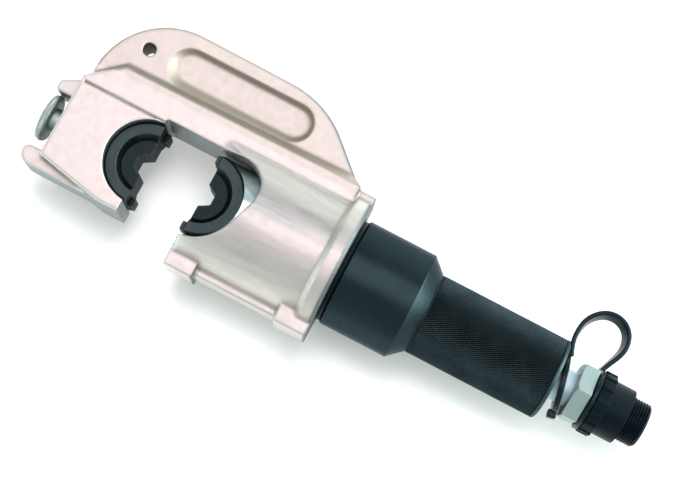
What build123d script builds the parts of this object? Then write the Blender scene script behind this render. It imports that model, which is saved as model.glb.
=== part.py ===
from build123d import *
import math
import os

# Hydraulic crimping head for a remote pump, lying on its side, in millimetres.
# X runs along the ram axis from the nose to the hose coupler, Y towards the closed back of the C
# and Z up, out of the head's flat side. The origin is the centre of the crimping nest.

# Fits
seat_clearance = 0.05
running_clearance = 0.06
free_clearance = 0.3
cut_overlap = 1.0

# Dies, a matching pair
die_radius = 21.6
die_half_thickness = 15.0
die_face_setback = 1.15
die_rim_width = 6.1
die_recess_depth = 5.0
die_recess_slope = 2.5
die_edge_chamfer = 1.0
nest_hex_side = 6.0
tab_reach = 1.15
tab_width = 4.6
tab_side_gap = 0.5
die_hole_radius = 3.1
die_hole_depth = 5.0

# Ram and its travel
ram_stroke = 29.8
closing_gap = 0.2
ram_radius = 23.5
ram_length = 97.5
ram_horn_setback = 0.5
ram_bore_radius = 13.0
ram_nose_wall = 22.4
ram_bottom_gap = 0.5
seal_groove_depth = 4.0
wear_groove_depth = 2.0
wear_ring_width = 6.0
piston_seal_width = 5.0
backup_ring_width = 2.0
seal_land = 4.0
seal_to_wear_land = 6.0

# Return spring inside the ram
return_wire = 2.6
return_turns = 14
return_coil_radius = 9.5
spring_plug_length = 10.0
spring_stud_radius = 4.0
spring_stud_length = 7.0
spring_flange_length = 3.0
plug_oil_hole_radius = 1.5

# Detent that holds the moving die
detent_ball_radius = 4.0
detent_proud = 1.3
detent_spring_length = 5.0
detent_wire = 0.8
detent_turns = 3

# Forged C-frame
jaw_half_thickness = 20.0
jaw_back_wall = 27.1
jaw_tip_setback = 1.5
jaw_lip = 6.6
jaw_lip_flat = 11.5
nose_bottom = 20.8
nose_top = 24.0
jaw_edge_round = 1.5
ceiling_clearance = 2.4
band_depth_front = 13.3
band_depth_rear = 14.7
band_slant_run = 17.0
band_end_inset = 9.4
step_run_nose = 3.2
step_run_front = 4.3
step_run_rear = 5.5
web_half_thickness = 10.5
web_height = 34.9
web_nose_radius = 40.5
web_nose_setback = 0.8
web_edge_round = 1.5
web_shoulder_radius = 52.0
web_slope_angle = 43.3
web_top_drop = 1.0
pocket_from_top = 8.1
pocket_foot_gap = 0.2
pocket_depth = 3.2
pocket_front_run = 4.2
pocket_rear_run = 2.0
pocket_floor_length = 74.0
pocket_floor_from_nose = 36.6
pocket_floor_height = 15.4
pocket_floor_from_top = 9.9
pocket_floor_round = 2.0
hang_hole_radius = 3.3
hang_hole_from_nose = 20.7
hang_hole_from_top = 19.4
groove_width = 1.2
groove_depth = 1.6
groove_start = 1.5
groove_rise = 0.3
throat_clearance = 2.6
throat_offset = 0.5
throat_flank_angle = 18.0
throat_corner_radius = 15.0
barrel_radius = 35.0
barrel_lip_offset = 0.7
barrel_edge_round = 1.5
barrel_guide_length = 39.3
barrel_blend_length = 25.5
barrel_blend_rise = 10.9
collar_radius = 37.5
collar_length = 10.5
collar_flare = 2.5
socket_radius = 28.0
socket_depth = 38.5
foot_drop = 5.0
foot_round = 1.2
lug_root_radius = 28.0
front_foot_overhang = 0.6
front_foot_length = 15.6
front_foot_half_width = 15.0
rear_foot_length = 17.7
rear_foot_half_width = 18.0
ridge_drop = 2.8
ridge_half_width = 10.0
ear_rise = 0.4
ear_length = 10.0
ear_half_width = 16.0
guard_reach = 10.2
guard_half_width = 12.0
guard_round = 3.0
guard_gap = 5.2
upper_guard_depth = 11.8
upper_guard_tip_depth = 5.2
upper_guard_reach = 10.6
upper_guard_round = 1.5
keel_drop = 27.2
keel_round = 5.5
keel_length = 44.0

# Die release on the nose
release_pin_radius = 3.0
release_pin_engagement = 4.0
release_guide_wall = 7.4
release_collar_radius = 5.4
release_collar_length = 2.0
release_stem_radius = 4.0
release_bore_radius = 7.0
release_bush_length = 4.0
release_wire = 0.8
release_turns = 4
knob_radius = 12.5
knob_thickness = 4.4
knob_edge_chamfer = 0.7
knob_dish_radius = 7.5
knob_dish_floor_radius = 6.25
knob_standoff = 6.3
knob_hub_radius = 6.3
knob_spigot_radius = 2.5
knob_spigot_length = 2.5

# Cylinder
cylinder_radius = 28.5
cylinder_length = 38.0
cylinder_edge_chamfer = 0.8
cone_length = 7.0
joint_groove_width = 2.2
joint_groove_radius = 25.8
joint_ring_setback = 1.1
wiper_width = 4.0
wiper_depth = 2.4
oil_hole_radius = 3.0
spigot_radius = 13.0
spigot_length = 16.0

# Handle
handle_radius = 21.5
handle_length = 71.8
handle_end_round = 3.5
washer_thickness = 1.5

# Neck and coupler
neck_radius = 9.0
neck_length = 10.5
neck_thread_length = 16.0
coupler_thread_radius = 8.0
coupler_thread_length = 7.0
hex_across_flats = 28.6
hex_length = 8.4
hex_chamfer = 1.6
nose_thread_radius = 12.0
nose_length = 14.6
poppet_chamber_radius = 7.0
poppet_head_radius = 6.2
poppet_head_length = 3.0
poppet_stem_radius = 4.3
poppet_recess = 0.5
poppet_seat_wall = 4.5
poppet_seal_width = 1.6
poppet_wire = 0.8
poppet_turns = 2

# Dust cap
cap_hub_radius = 14.3
cap_hub_length = 2.8
cap_collar_radius = 16.25
cap_collar_length = 6.4
cap_body_radius = 14.5
cap_body_length = 11.4
cap_plug_radius = 11.7
cap_plug_length = 10.4
cap_plug_round = 1.2
cap_rib_count = 16
cap_rib_rise = 0.7
cap_rib_width = 2.4
cap_gasket_thickness = 1.2

# Tether, one flat moulding with a ring at each end
tether_width = 8.0
tether_thickness = 2.5
tether_ring_thickness = 2.8
neck_ring_radius = 15.5
neck_ring_tilt = 11.5
neck_ring_turn = -5.0
neck_ring_setback = 4.9
strap_root_length = 2.0
closure_length = 4.6
closure_shift = -0.7
closure_depth = 4.5
closure_round = 0.9
cap_ring_radius = 16.5
cap_ring_thickness = 2.2
# The strap's route, as places behind the grip's end and heights over the ram axis
tether_route = [
    (2.4, 16.5),
    (0.8, 21.8),
    (0.8, 27.3),
    (1.9, 32.6),
    (4.9, 37.2),
    (9.5, 40.9),
    (15.1, 41.9),
    (20.1, 39.9),
    (23.4, 35.9),
    (24.6, 30.7),
    (23.8, 26.0),
    (21.9, 21.4),
    (20.4, 17.4),
]
route_arc_share = 0.45

# Places along the ram axis, worked out from the sizes above
moving_die_x = ram_stroke + closing_gap
seat_radius = die_radius + seat_clearance
nose_x = -(die_radius + jaw_back_wall)
tip_x = -jaw_tip_setback
ceiling_y = die_radius + ceiling_clearance
lip_y = -(die_radius + jaw_lip)
barrel_front_x = moving_die_x + barrel_lip_offset
guide_radius = ram_radius + running_clearance
cylinder_front_x = barrel_front_x + barrel_guide_length
frame_rear_x = cylinder_front_x + socket_depth
shoulder_x = frame_rear_x + joint_groove_width
cone_x = shoulder_x + cylinder_length
handle_front_x = cone_x + cone_length
handle_rear_x = handle_front_x + handle_length
hex_front_x = handle_rear_x + neck_length
hex_rear_x = hex_front_x + hex_length
ram_front_x = moving_die_x + ram_horn_setback
ram_rear_x = ram_front_x + ram_length
bore_end_x = ram_rear_x + ram_bottom_gap
nest_x = moving_die_x + seat_radius
ram_bore_x = nest_x + ram_nose_wall
spigot_end_x = handle_front_x + spigot_length
nose_end_x = hex_rear_x + nose_length
cap_front_x = hex_rear_x + free_clearance
cap_collar_x = cap_front_x + cap_hub_length
cap_body_x = cap_collar_x + cap_collar_length
cap_plug_x = cap_body_x + cap_body_length
cap_end_x = cap_plug_x + cap_plug_length
cap_socket_x = nose_end_x + cap_gasket_thickness + free_clearance
neck_ring_x = handle_rear_x + neck_ring_setback
neck_root_x = handle_rear_x - neck_thread_length

# The die release, from the fixed die forward
pin_hole_end_x = -die_radius + seat_clearance
release_stop_x = pin_hole_end_x - release_guide_wall
release_collar_x = release_stop_x - seat_clearance
knob_x = nose_x - knob_standoff

# The ram's grooves, detent and spring
seal_rear_x = ram_rear_x - seal_land
backup_x = seal_rear_x - backup_ring_width
piston_seal_x = backup_x - piston_seal_width
wear_end_x = piston_seal_x - seal_to_wear_land
wear_x = wear_end_x - wear_ring_width
seal_floor = ram_radius - seal_groove_depth
wear_floor = ram_radius - wear_groove_depth
wiper_radius = ram_radius + wiper_depth
detent_x = nest_x + detent_ball_radius - detent_proud
detent_end_x = detent_x + detent_ball_radius + detent_spring_length
spring_front_x = ram_bore_x + spring_flange_length
spring_rear_x = bore_end_x - spring_flange_length
spring_plug_radius = return_coil_radius - return_wire / 2 - seat_clearance
spring_flange_radius = return_coil_radius + return_wire / 2

# The coupler's check valve
chamber_x = hex_front_x + coupler_thread_length
seat_x = nose_end_x - poppet_seat_wall
poppet_head_end_x = seat_x - poppet_seal_width
poppet_head_x = poppet_head_end_x - poppet_head_length

# Places across the C
band_front_y = ceiling_y + band_depth_front
band_rear_y = ceiling_y + band_depth_rear
web_top_y = band_front_y + web_height
band_end_x = frame_rear_x - band_end_inset
web_nose_x = nose_x + web_nose_setback
pocket_from_nose = pocket_floor_from_nose - pocket_front_run
pocket_length = pocket_front_run + pocket_floor_length + pocket_rear_run
foot_y = -(barrel_radius + foot_drop)


def turned(*profile):
    """A solid turned about the ram axis from a closed outline of (x, radius) corners."""
    return revolve(make_face(Polyline(*profile, close=True)), Axis.X)


def ring(x_start, x_end, inner, outer):
    """A plain ring on the ram axis."""
    return turned((x_start, inner), (x_start, outer), (x_end, outer), (x_end, inner))


def rod(x_start, x_end, radius):
    """A plain rod on the ram axis."""
    return turned((x_start, 0), (x_start, radius), (x_end, radius), (x_end, 0))


def plate(corners, half_thickness):
    """A flat plate about the mid-plane from a closed outline of (x, y) corners."""
    return extrude(make_face(Polyline(*corners, close=True)), half_thickness, both=True)


def block(x_range, y_range, half_width, edge_round=0.0):
    """A block about the mid-plane, with its edges along X rounded."""
    length = x_range[1] - x_range[0]
    height = y_range[1] - y_range[0]
    centre = Pos(sum(x_range) / 2, sum(y_range) / 2, 0)
    solid = centre * Box(length, height, 2 * half_width)
    if edge_round:
        solid = fillet(solid.edges().filter_by(Axis.X), edge_round)
    return solid


def across(x, y, radius, half_length):
    """A round bar across the head, along Z."""
    return Pos(x, y, 0) * Cylinder(radius, 2 * half_length)


def nearest_corner(sketch, x, y):
    """The corner of a flat outline that lies nearest to (x, y)."""
    return sketch.vertices().sort_by_distance((x, y, 0))[:1]


def coil_spring(x_start, x_end, coil_radius, wire, turns):
    """A round-wire coil spring on the ram axis that fills the length from x_start to x_end."""
    height = x_end - x_start - wire
    centre_line = Pos(x_start + wire / 2, 0, 0) * Rot(0, 90, 0) * Helix(height / turns, height, coil_radius)
    section = Plane(origin=centre_line @ 0, z_dir=centre_line % 0) * Circle(wire / 2)
    return sweep(section, path=centre_line, is_frenet=True)


def die():
    """A half-round die whose crimping face looks along +X, with its guide tabs on the lower half."""
    rim_inner = die_radius - die_rim_width
    span = 2 * die_radius
    disc = Cylinder(die_radius, 2 * die_half_thickness)
    disc = chamfer(disc.edges().filter_by(GeomType.CIRCLE), die_edge_chamfer)
    open_side = Pos(die_radius - die_face_setback, 0, 0) * Box(span, 2 * span, 2 * span)
    solid = disc - open_side
    nest_depth = nest_hex_side * math.sin(math.radians(60))
    nest_mouth_x = -die_face_setback
    nest_floor_x = nest_mouth_x - nest_depth
    solid -= plate(
        [
            (die_face_setback, nest_hex_side),
            (nest_mouth_x, nest_hex_side),
            (nest_floor_x, nest_hex_side / 2),
            (nest_floor_x, -nest_hex_side / 2),
            (nest_mouth_x, -nest_hex_side),
            (die_face_setback, -nest_hex_side),
        ],
        span,
    )
    for side in (1, -1):
        dish = Cone(rim_inner - die_recess_slope, rim_inner + die_recess_slope, 2 * die_recess_depth)
        solid -= Pos(0, 0, side * die_half_thickness) * Rot(0 if side > 0 else 180, 0, 0) * dish
    tab_length = die_face_setback + tab_reach
    tab_height = die_half_thickness - tab_side_gap - die_edge_chamfer
    tab_middle_y = die_radius - die_rim_width / 2
    tab_whole_length = tab_length + die_rim_width / 2
    tab = Pos(tab_reach - tab_whole_length / 2, 0, -tab_side_gap - tab_height / 2) * Box(
        tab_whole_length, tab_width, tab_height
    )
    for side in (1, -1):
        solid += Pos(0, side * tab_middle_y, 0) * tab
    solid -= rod(-die_radius - cut_overlap, -die_radius + die_hole_depth, die_hole_radius)
    return solid


def jaw_and_band():
    """The thick C-shaped arm: jaw, nose and the band over the throat."""
    corners = [
        (nose_x, -nose_bottom),
        (tip_x - jaw_lip_flat, lip_y + seat_clearance),
        (tip_x, lip_y),
        (tip_x, ceiling_y),
        (band_end_x, ceiling_y),
        (band_end_x, band_rear_y),
        (nose_x + band_slant_run, band_front_y),
        (nose_x, nose_top),
    ]
    arm = plate(corners, jaw_half_thickness)
    lower_edges = arm.edges().filter_by(Plane.XY).filter_by(
        lambda edge: edge.center().Y < nose_top and edge.center().X < tip_x
    )
    return fillet(lower_edges, jaw_edge_round)


def band_step():
    """The sloped shoulder that runs from the band's face down to the thin web, on the upper side."""
    slant = Vector(band_slant_run, band_front_y - nose_top).normalized()
    outward = Vector(-slant.Y, slant.X) * step_run_nose
    web_edge_x = web_nose_x
    slant_start = Vector(nose_x, nose_top)
    along = (web_edge_x - slant_start.X - outward.X) / slant.X
    foot_start = slant_start + outward + slant * along
    half_slant = math.radians(slant.get_angle(Vector(1, 0)) / 2)
    foot_turn_x = nose_x + band_slant_run - step_run_front * math.tan(half_slant)
    slope_run = step_run_rear / math.tan(math.radians(web_slope_angle))
    inner_y = ceiling_y + cut_overlap
    inner_corner = (nose_x + 2 * cut_overlap, nose_top - cut_overlap)
    top = [
        (nose_x, nose_top),
        (nose_x + band_slant_run, band_front_y),
        (band_end_x, band_rear_y),
        (band_end_x, inner_y),
        inner_corner,
    ]
    foot = [
        (foot_start.X, foot_start.Y),
        (foot_turn_x, band_front_y + step_run_front),
        (band_end_x - slope_run, band_rear_y + step_run_rear),
        (band_end_x - slope_run, inner_y),
        inner_corner,
    ]
    foot_face = Pos(0, 0, web_half_thickness - cut_overlap) * make_face(Polyline(*foot, close=True))
    top_face = Pos(0, 0, jaw_half_thickness) * make_face(Polyline(*top, close=True))
    return loft([foot_face, top_face], ruled=True)


def web():
    """The thin back of the C, with its round nose and its long slope down to the collar."""
    slope_run = (web_top_y - band_rear_y) / math.tan(math.radians(web_slope_angle))
    shoulder_corner_x = band_end_x - slope_run
    shoulder_corner_y = web_top_y - web_top_drop
    inner_y = ceiling_y + cut_overlap
    outline = make_face(
        Polyline(
            (web_nose_x, inner_y),
            (web_nose_x, web_top_y),
            (shoulder_corner_x, shoulder_corner_y),
            (band_end_x, band_rear_y),
            (band_end_x, inner_y),
            close=True,
        )
    )
    outline = fillet(nearest_corner(outline, web_nose_x, web_top_y), web_nose_radius)
    outline = fillet(nearest_corner(outline, shoulder_corner_x, shoulder_corner_y), web_shoulder_radius)
    flat = extrude(outline, web_half_thickness, both=True)
    rim = flat.edges().filter_by(Plane.XY).filter_by(lambda edge: edge.center().Y > band_rear_y)
    return fillet(rim, web_edge_round)


def barrel():
    """The round barrel with its flared collar, thinned where it runs into the band."""
    collar_x = frame_rear_x - collar_length
    body = turned(
        (barrel_front_x, 0),
        (barrel_front_x, barrel_radius - barrel_edge_round),
        (barrel_front_x + barrel_edge_round, barrel_radius),
        (collar_x, barrel_radius),
        (collar_x + collar_flare, collar_radius),
        (frame_rear_x - barrel_edge_round, collar_radius),
        (frame_rear_x, collar_radius - barrel_edge_round),
        (frame_rear_x, 0),
    )
    blend_start_x = barrel_front_x - cut_overlap
    shaving = make_face(
        Polyline(
            (blend_start_x, jaw_half_thickness),
            (blend_start_x + barrel_blend_length, jaw_half_thickness + barrel_blend_rise),
            (blend_start_x + barrel_blend_length, barrel_radius + cut_overlap),
            (blend_start_x, barrel_radius + cut_overlap),
            close=True,
        )
    )
    blend_floor_y = ceiling_y - throat_corner_radius / 2
    shaving = Pos(0, blend_floor_y, 0) * (Rot(90, 0, 0) * extrude(shaving, -barrel_radius))
    return body - shaving - mirror(shaving, Plane.XY)


def feet_and_ears():
    """The small forged lugs on the barrel: two feet with a ridge between them, and an ear above."""
    inside_y = lug_root_radius
    front_foot_x = barrel_front_x - front_foot_overhang
    rear_foot_x = frame_rear_x - rear_foot_length
    front_foot = block(
        (front_foot_x, front_foot_x + front_foot_length),
        (foot_y, -inside_y),
        front_foot_half_width,
        foot_round,
    )
    rear_foot = block((rear_foot_x, frame_rear_x), (foot_y, -inside_y), rear_foot_half_width, foot_round)
    ridge = block(
        (front_foot_x + foot_round, rear_foot_x + foot_round),
        (-barrel_radius - ridge_drop, -inside_y),
        ridge_half_width,
        foot_round,
    )
    ear = block(
        (frame_rear_x - ear_length, frame_rear_x),
        (inside_y, collar_radius + ear_rise),
        ear_half_width,
        foot_round,
    )
    return front_foot + rear_foot + ridge + ear


def nose_guards():
    """The two lugs that stand round the pull knob, the lower one running back as a keel under the jaw."""
    guard_x = nose_x - guard_reach
    lower_y = -(knob_radius + guard_gap)
    keel = plate(
        [
            (nose_x + keel_length, lip_y + cut_overlap),
            (guard_x, -keel_drop),
            (guard_x, lower_y),
            (nose_x + keel_length, lower_y),
        ],
        guard_half_width,
    )
    front_edges = keel.edges().filter_by(Axis.Z).sort_by(Axis.X)[:2].sort_by(Axis.Y)
    keel = fillet(front_edges[:1], keel_round)
    upper_front_edge = keel.edges().filter_by(Axis.Z).sort_by_distance((guard_x, lower_y, 0))[:1]
    keel = fillet(upper_front_edge, guard_round)
    upper_y = knob_radius + free_clearance
    upper_guard_x = nose_x - upper_guard_reach
    upper = plate(
        [
            (nose_x + cut_overlap, upper_y),
            (upper_guard_x, upper_y),
            (upper_guard_x, upper_y + upper_guard_tip_depth),
            (nose_x + cut_overlap, upper_y + upper_guard_depth),
        ],
        guard_half_width,
    )
    upper = fillet(upper.edges().filter_by(Axis.Z).sort_by(Axis.X)[:2], upper_guard_round)
    return keel + upper


def throat():
    """The opening between the dies, with its round flank on the barrel."""
    centre_x = moving_die_x - throat_offset
    radius = die_radius + throat_clearance
    arc = CenterArc((centre_x, 0), radius, -90, 90 - throat_flank_angle)
    flank_start = arc @ 1
    rise = (ceiling_y - flank_start.Y) / math.cos(math.radians(throat_flank_angle))
    corner = (flank_start.X + rise * math.sin(math.radians(throat_flank_angle)), ceiling_y)
    rest = Polyline(flank_start, corner, (tip_x, ceiling_y), (tip_x, -radius), arc @ 0)
    outline = fillet(nearest_corner(make_face([arc, rest]), *corner), throat_corner_radius)
    return extrude(outline, collar_radius + cut_overlap, both=True)


def oval(x_start, x_end, top_y, front_y, rear_y):
    """A long oval whose lower side rises from front_y to rear_y."""
    front_radius = (top_y - front_y) / 2
    rear_radius = (top_y - rear_y) / 2
    front = Pos(x_start + front_radius, top_y - front_radius) * Circle(front_radius)
    rear = Pos(x_end - rear_radius, top_y - rear_radius) * Circle(rear_radius)
    return make_hull(front.edges() + rear.edges())


def pocket():
    """The shallow oval pocket in the upper side of the web, whose lower wall runs out into the step."""
    mouth_x = nose_x + pocket_from_nose
    foot_front_x = nose_x + band_slant_run
    foot_front_y = band_front_y + step_run_front
    foot_rise = (band_rear_y + step_run_rear - foot_front_y) / (band_end_x - foot_front_x)
    mouth_y = [
        foot_front_y + foot_rise * (x - foot_front_x) + pocket_foot_gap
        for x in (mouth_x, mouth_x + pocket_length)
    ]
    mouth = oval(mouth_x, mouth_x + pocket_length, web_top_y - pocket_from_top, *mouth_y)
    floor_x = nose_x + pocket_floor_from_nose
    floor_end_x = floor_x + pocket_floor_length
    floor_top_y = web_top_y - pocket_floor_from_top
    floor_y = floor_top_y - pocket_floor_height
    floor = oval(floor_x, floor_end_x, floor_top_y, floor_y, floor_y)
    mouth = Pos(0, 0, web_half_thickness) * mouth
    hollow = loft([Pos(0, 0, web_half_thickness - pocket_depth) * floor, mouth], ruled=True)
    hollow = fillet(hollow.faces().sort_by(Axis.Z)[0].edges(), pocket_floor_round)
    return hollow + extrude(mouth, cut_overlap)


def c_frame():
    """The forged head in one piece."""
    step = band_step()
    head = jaw_and_band() + web() + step + mirror(step, Plane.XY)
    head += nose_guards()
    head += barrel() + feet_and_ears()
    head -= throat()
    head -= across(0, 0, seat_radius, jaw_half_thickness + cut_overlap)
    head -= rod(barrel_front_x - cut_overlap, cylinder_front_x + cut_overlap, guide_radius)
    head -= rod(cylinder_front_x, frame_rear_x + cut_overlap, socket_radius)
    upper_pocket = pocket()
    head -= upper_pocket + mirror(upper_pocket, Plane.XY)
    head -= across(
        nose_x + hang_hole_from_nose, web_top_y - hang_hole_from_top, hang_hole_radius, jaw_half_thickness
    )
    groove_y = (die_radius + groove_rise - groove_width / 2, die_radius + groove_rise + groove_width / 2)
    for side in (1, -1):
        groove = block((nose_x + groove_start, tip_x + cut_overlap), groove_y, groove_depth)
        head -= Pos(0, 0, side * jaw_half_thickness) * groove
    head -= rod(nose_x - cut_overlap, release_stop_x, release_bore_radius)
    head -= rod(nose_x, pin_hole_end_x + cut_overlap, release_pin_radius + running_clearance)
    return head


def release_pin():
    """The sprung pin that reaches through the jaw into the back of the fixed die."""
    tip = -die_radius + release_pin_engagement
    return turned(
        (tip, 0),
        (tip, release_pin_radius),
        (release_collar_x, release_pin_radius),
        (release_collar_x, release_collar_radius),
        (release_collar_x - release_collar_length, release_collar_radius),
        (release_collar_x - release_collar_length, release_stem_radius),
        (knob_x, release_stem_radius),
        (knob_x, knob_spigot_radius),
        (knob_x - knob_spigot_length, knob_spigot_radius),
        (knob_x - knob_spigot_length, 0),
    )


def release_knob():
    """The round pull knob, dished a little on its outer face, with a hub round the pin's stem."""
    face_x = knob_x - knob_thickness
    edge = knob_edge_chamfer
    disc = turned(
        (nose_x - free_clearance, 0),
        (nose_x - free_clearance, knob_hub_radius),
        (knob_x, knob_hub_radius),
        (knob_x, knob_radius - edge),
        (knob_x - edge, knob_radius),
        (face_x + edge, knob_radius),
        (face_x, knob_radius - edge),
        (face_x, knob_dish_radius),
        (face_x + edge, knob_dish_floor_radius),
        (face_x + edge, 0),
    )
    disc -= rod(knob_x - knob_spigot_length, knob_x + cut_overlap, knob_spigot_radius)
    return disc - rod(knob_x, nose_x, release_stem_radius + running_clearance)


def release_bush():
    """The threaded bush that closes the release bore and guides the pin's stem."""
    return ring(
        nose_x,
        nose_x + release_bush_length,
        release_stem_radius + running_clearance,
        release_bore_radius - seat_clearance / 2,
    )


def release_spring():
    """The compression spring between the bush and the pin's collar."""
    return coil_spring(
        nose_x + release_bush_length,
        release_collar_x - release_collar_length,
        (release_stem_radius + release_bore_radius) / 2,
        release_wire,
        release_turns,
    )


def ram():
    """The chrome plunger: a half-round nest for the die in front, seal grooves and a spring bore behind."""
    body = turned(
        (ram_front_x, 0),
        (ram_front_x, ram_radius),
        (wear_x, ram_radius),
        (wear_x, wear_floor),
        (wear_end_x, wear_floor),
        (wear_end_x, ram_radius),
        (piston_seal_x, ram_radius),
        (piston_seal_x, seal_floor),
        (seal_rear_x, seal_floor),
        (seal_rear_x, ram_radius),
        (ram_rear_x, ram_radius),
        (ram_rear_x, ram_bore_radius),
        (ram_bore_x, ram_bore_radius),
        (ram_bore_x, 0),
    )
    body -= across(moving_die_x, 0, seat_radius, ram_radius + cut_overlap)
    body -= rod(nest_x - cut_overlap, detent_end_x, detent_ball_radius + running_clearance)
    body -= rod(ram_bore_x - spring_stud_length, ram_bore_x + cut_overlap, spring_stud_radius)
    return body


def detent_ball():
    """The ball that clicks into the hole in the moving die's back."""
    return Pos(detent_x, 0, 0) * Sphere(detent_ball_radius)


def detent_spring():
    """The spring behind the detent ball."""
    coil_radius = detent_ball_radius - detent_wire
    touch_depth = math.sqrt(detent_ball_radius**2 - coil_radius**2)
    start = detent_x + touch_depth + detent_wire / 4
    return coil_spring(start, detent_end_x, coil_radius, detent_wire, detent_turns)


def ram_ring(x_start, x_end, floor):
    """A seal or guide ring that fills one of the ram's grooves out to the cylinder wall."""
    return ring(x_start, x_end, floor, ram_radius + running_clearance / 2)


def spring_plug(wall_x, direction):
    """A plug that screws into a wall with its stud and into the end of the return spring."""
    flange_x = wall_x + direction * spring_flange_length
    plug_x = flange_x + direction * spring_plug_length
    stud_x = wall_x - direction * spring_stud_length
    return turned(
        (stud_x, 0),
        (stud_x, spring_stud_radius),
        (wall_x, spring_stud_radius),
        (wall_x, spring_flange_radius),
        (flange_x, spring_flange_radius),
        (flange_x, spring_plug_radius),
        (plug_x, spring_plug_radius),
        (plug_x, 0),
    )


def spring_plug_rear():
    """The rear plug, drilled so that the oil reaches the ram past its stud."""
    plug_end_x = spring_rear_x - spring_plug_length
    oil_way = rod(plug_end_x - cut_overlap, handle_front_x, plug_oil_hole_radius)
    return spring_plug(bore_end_x, -1) - oil_way


def return_spring():
    """The tension spring that draws the ram back."""
    return coil_spring(spring_front_x, spring_rear_x, return_coil_radius, return_wire, return_turns)


def cylinder():
    """The black cylinder: threaded front inside the barrel, smooth body, cone and rear spigot."""
    wall = cylinder_radius - cylinder_edge_chamfer
    body = turned(
        (cylinder_front_x, wiper_radius),
        (cylinder_front_x, socket_radius - seat_clearance / 2),
        (frame_rear_x, socket_radius - seat_clearance / 2),
        (frame_rear_x, joint_groove_radius),
        (shoulder_x, joint_groove_radius),
        (shoulder_x, wall),
        (shoulder_x + cylinder_edge_chamfer, cylinder_radius),
        (cone_x - cylinder_edge_chamfer, cylinder_radius),
        (cone_x, wall),
        (handle_front_x, handle_radius - cylinder_edge_chamfer),
        (handle_front_x, spigot_radius),
        (spigot_end_x, spigot_radius),
        (spigot_end_x, oil_hole_radius),
        (bore_end_x, oil_hole_radius),
        (bore_end_x, guide_radius),
        (cylinder_front_x + wiper_width, guide_radius),
        (cylinder_front_x + wiper_width, wiper_radius),
    )
    return body - rod(bore_end_x, bore_end_x + spring_stud_length, spring_stud_radius)


def rod_wiper():
    """The wiper ring at the cylinder's mouth, trapped against the barrel's shoulder."""
    return ring(cylinder_front_x, cylinder_front_x + wiper_width, guide_radius, wiper_radius)


def joint_seal_ring():
    """The dark ring that fills the joint between frame and cylinder."""
    return ring(frame_rear_x, shoulder_x, joint_groove_radius, cylinder_radius - joint_ring_setback)


def handle():
    """The grip bar, with a socket at each end and an oil way between them."""
    front_floor_x = spigot_end_x + washer_thickness
    rear_floor_x = neck_root_x - washer_thickness
    grip = turned(
        (handle_front_x, spigot_radius + seat_clearance),
        (handle_front_x, handle_radius),
        (handle_rear_x, handle_radius),
        (handle_rear_x, neck_radius + seat_clearance),
        (rear_floor_x, neck_radius + seat_clearance),
        (rear_floor_x, oil_hole_radius),
        (front_floor_x, oil_hole_radius),
        (front_floor_x, spigot_radius + seat_clearance),
    )
    rim = grip.edges().filter_by(GeomType.CIRCLE).group_by(SortBy.RADIUS)[-1].sort_by(Axis.X)[-1:]
    return fillet(rim, handle_end_round)


def handle_seal_washer():
    """The flat seal between the cylinder's spigot and the grip."""
    return ring(spigot_end_x, spigot_end_x + washer_thickness, oil_hole_radius, spigot_radius)


def nipple_seal_washer():
    """The flat seal between the neck and the grip."""
    return ring(neck_root_x - washer_thickness, neck_root_x, oil_hole_radius, neck_radius)


def neck_nipple():
    """The bright neck that joins the grip to the hose coupler."""
    return turned(
        (neck_root_x, oil_hole_radius),
        (neck_root_x, neck_radius),
        (hex_front_x, neck_radius),
        (hex_front_x, coupler_thread_radius),
        (hex_front_x + coupler_thread_length, coupler_thread_radius),
        (hex_front_x + coupler_thread_length, oil_hole_radius),
    )


def coupler_body():
    """The hose coupler: a hexagon with a threaded nose and the check valve's chamber."""
    corner_radius = hex_across_flats / 2 / math.cos(math.radians(30))
    outline = Plane.YZ * RegularPolygon(hex_across_flats / 2, 6, major_radius=False, rotation=30)
    hexagon = Pos(hex_front_x, 0, 0) * extrude(outline, hex_length)
    hexagon &= turned(
        (hex_front_x, 0),
        (hex_front_x, corner_radius - hex_chamfer),
        (hex_front_x + hex_chamfer, corner_radius),
        (hex_rear_x, corner_radius),
        (hex_rear_x, 0),
    )
    body = hexagon + rod(hex_front_x + hex_chamfer, nose_end_x, nose_thread_radius)
    body -= rod(hex_front_x - cut_overlap, chamber_x, coupler_thread_radius)
    body -= rod(chamber_x, seat_x, poppet_chamber_radius)
    body -= rod(chamber_x, nose_end_x + cut_overlap, poppet_stem_radius + running_clearance)
    return body


def check_poppet():
    """The check valve's poppet, whose stem stands in the coupler's nose."""
    return turned(
        (poppet_head_x, 0),
        (poppet_head_x, poppet_head_radius),
        (poppet_head_end_x, poppet_head_radius),
        (poppet_head_end_x, poppet_stem_radius),
        (nose_end_x - poppet_recess, poppet_stem_radius),
        (nose_end_x - poppet_recess, 0),
    )


def poppet_seal():
    """The soft ring on the poppet that closes on the seat."""
    return ring(poppet_head_end_x, seat_x, poppet_stem_radius, poppet_head_radius)


def poppet_spring():
    """The spring that holds the check valve shut."""
    coil_radius = (poppet_chamber_radius + oil_hole_radius) / 2
    return coil_spring(chamber_x, poppet_head_x, coil_radius, poppet_wire, poppet_turns)


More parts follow.
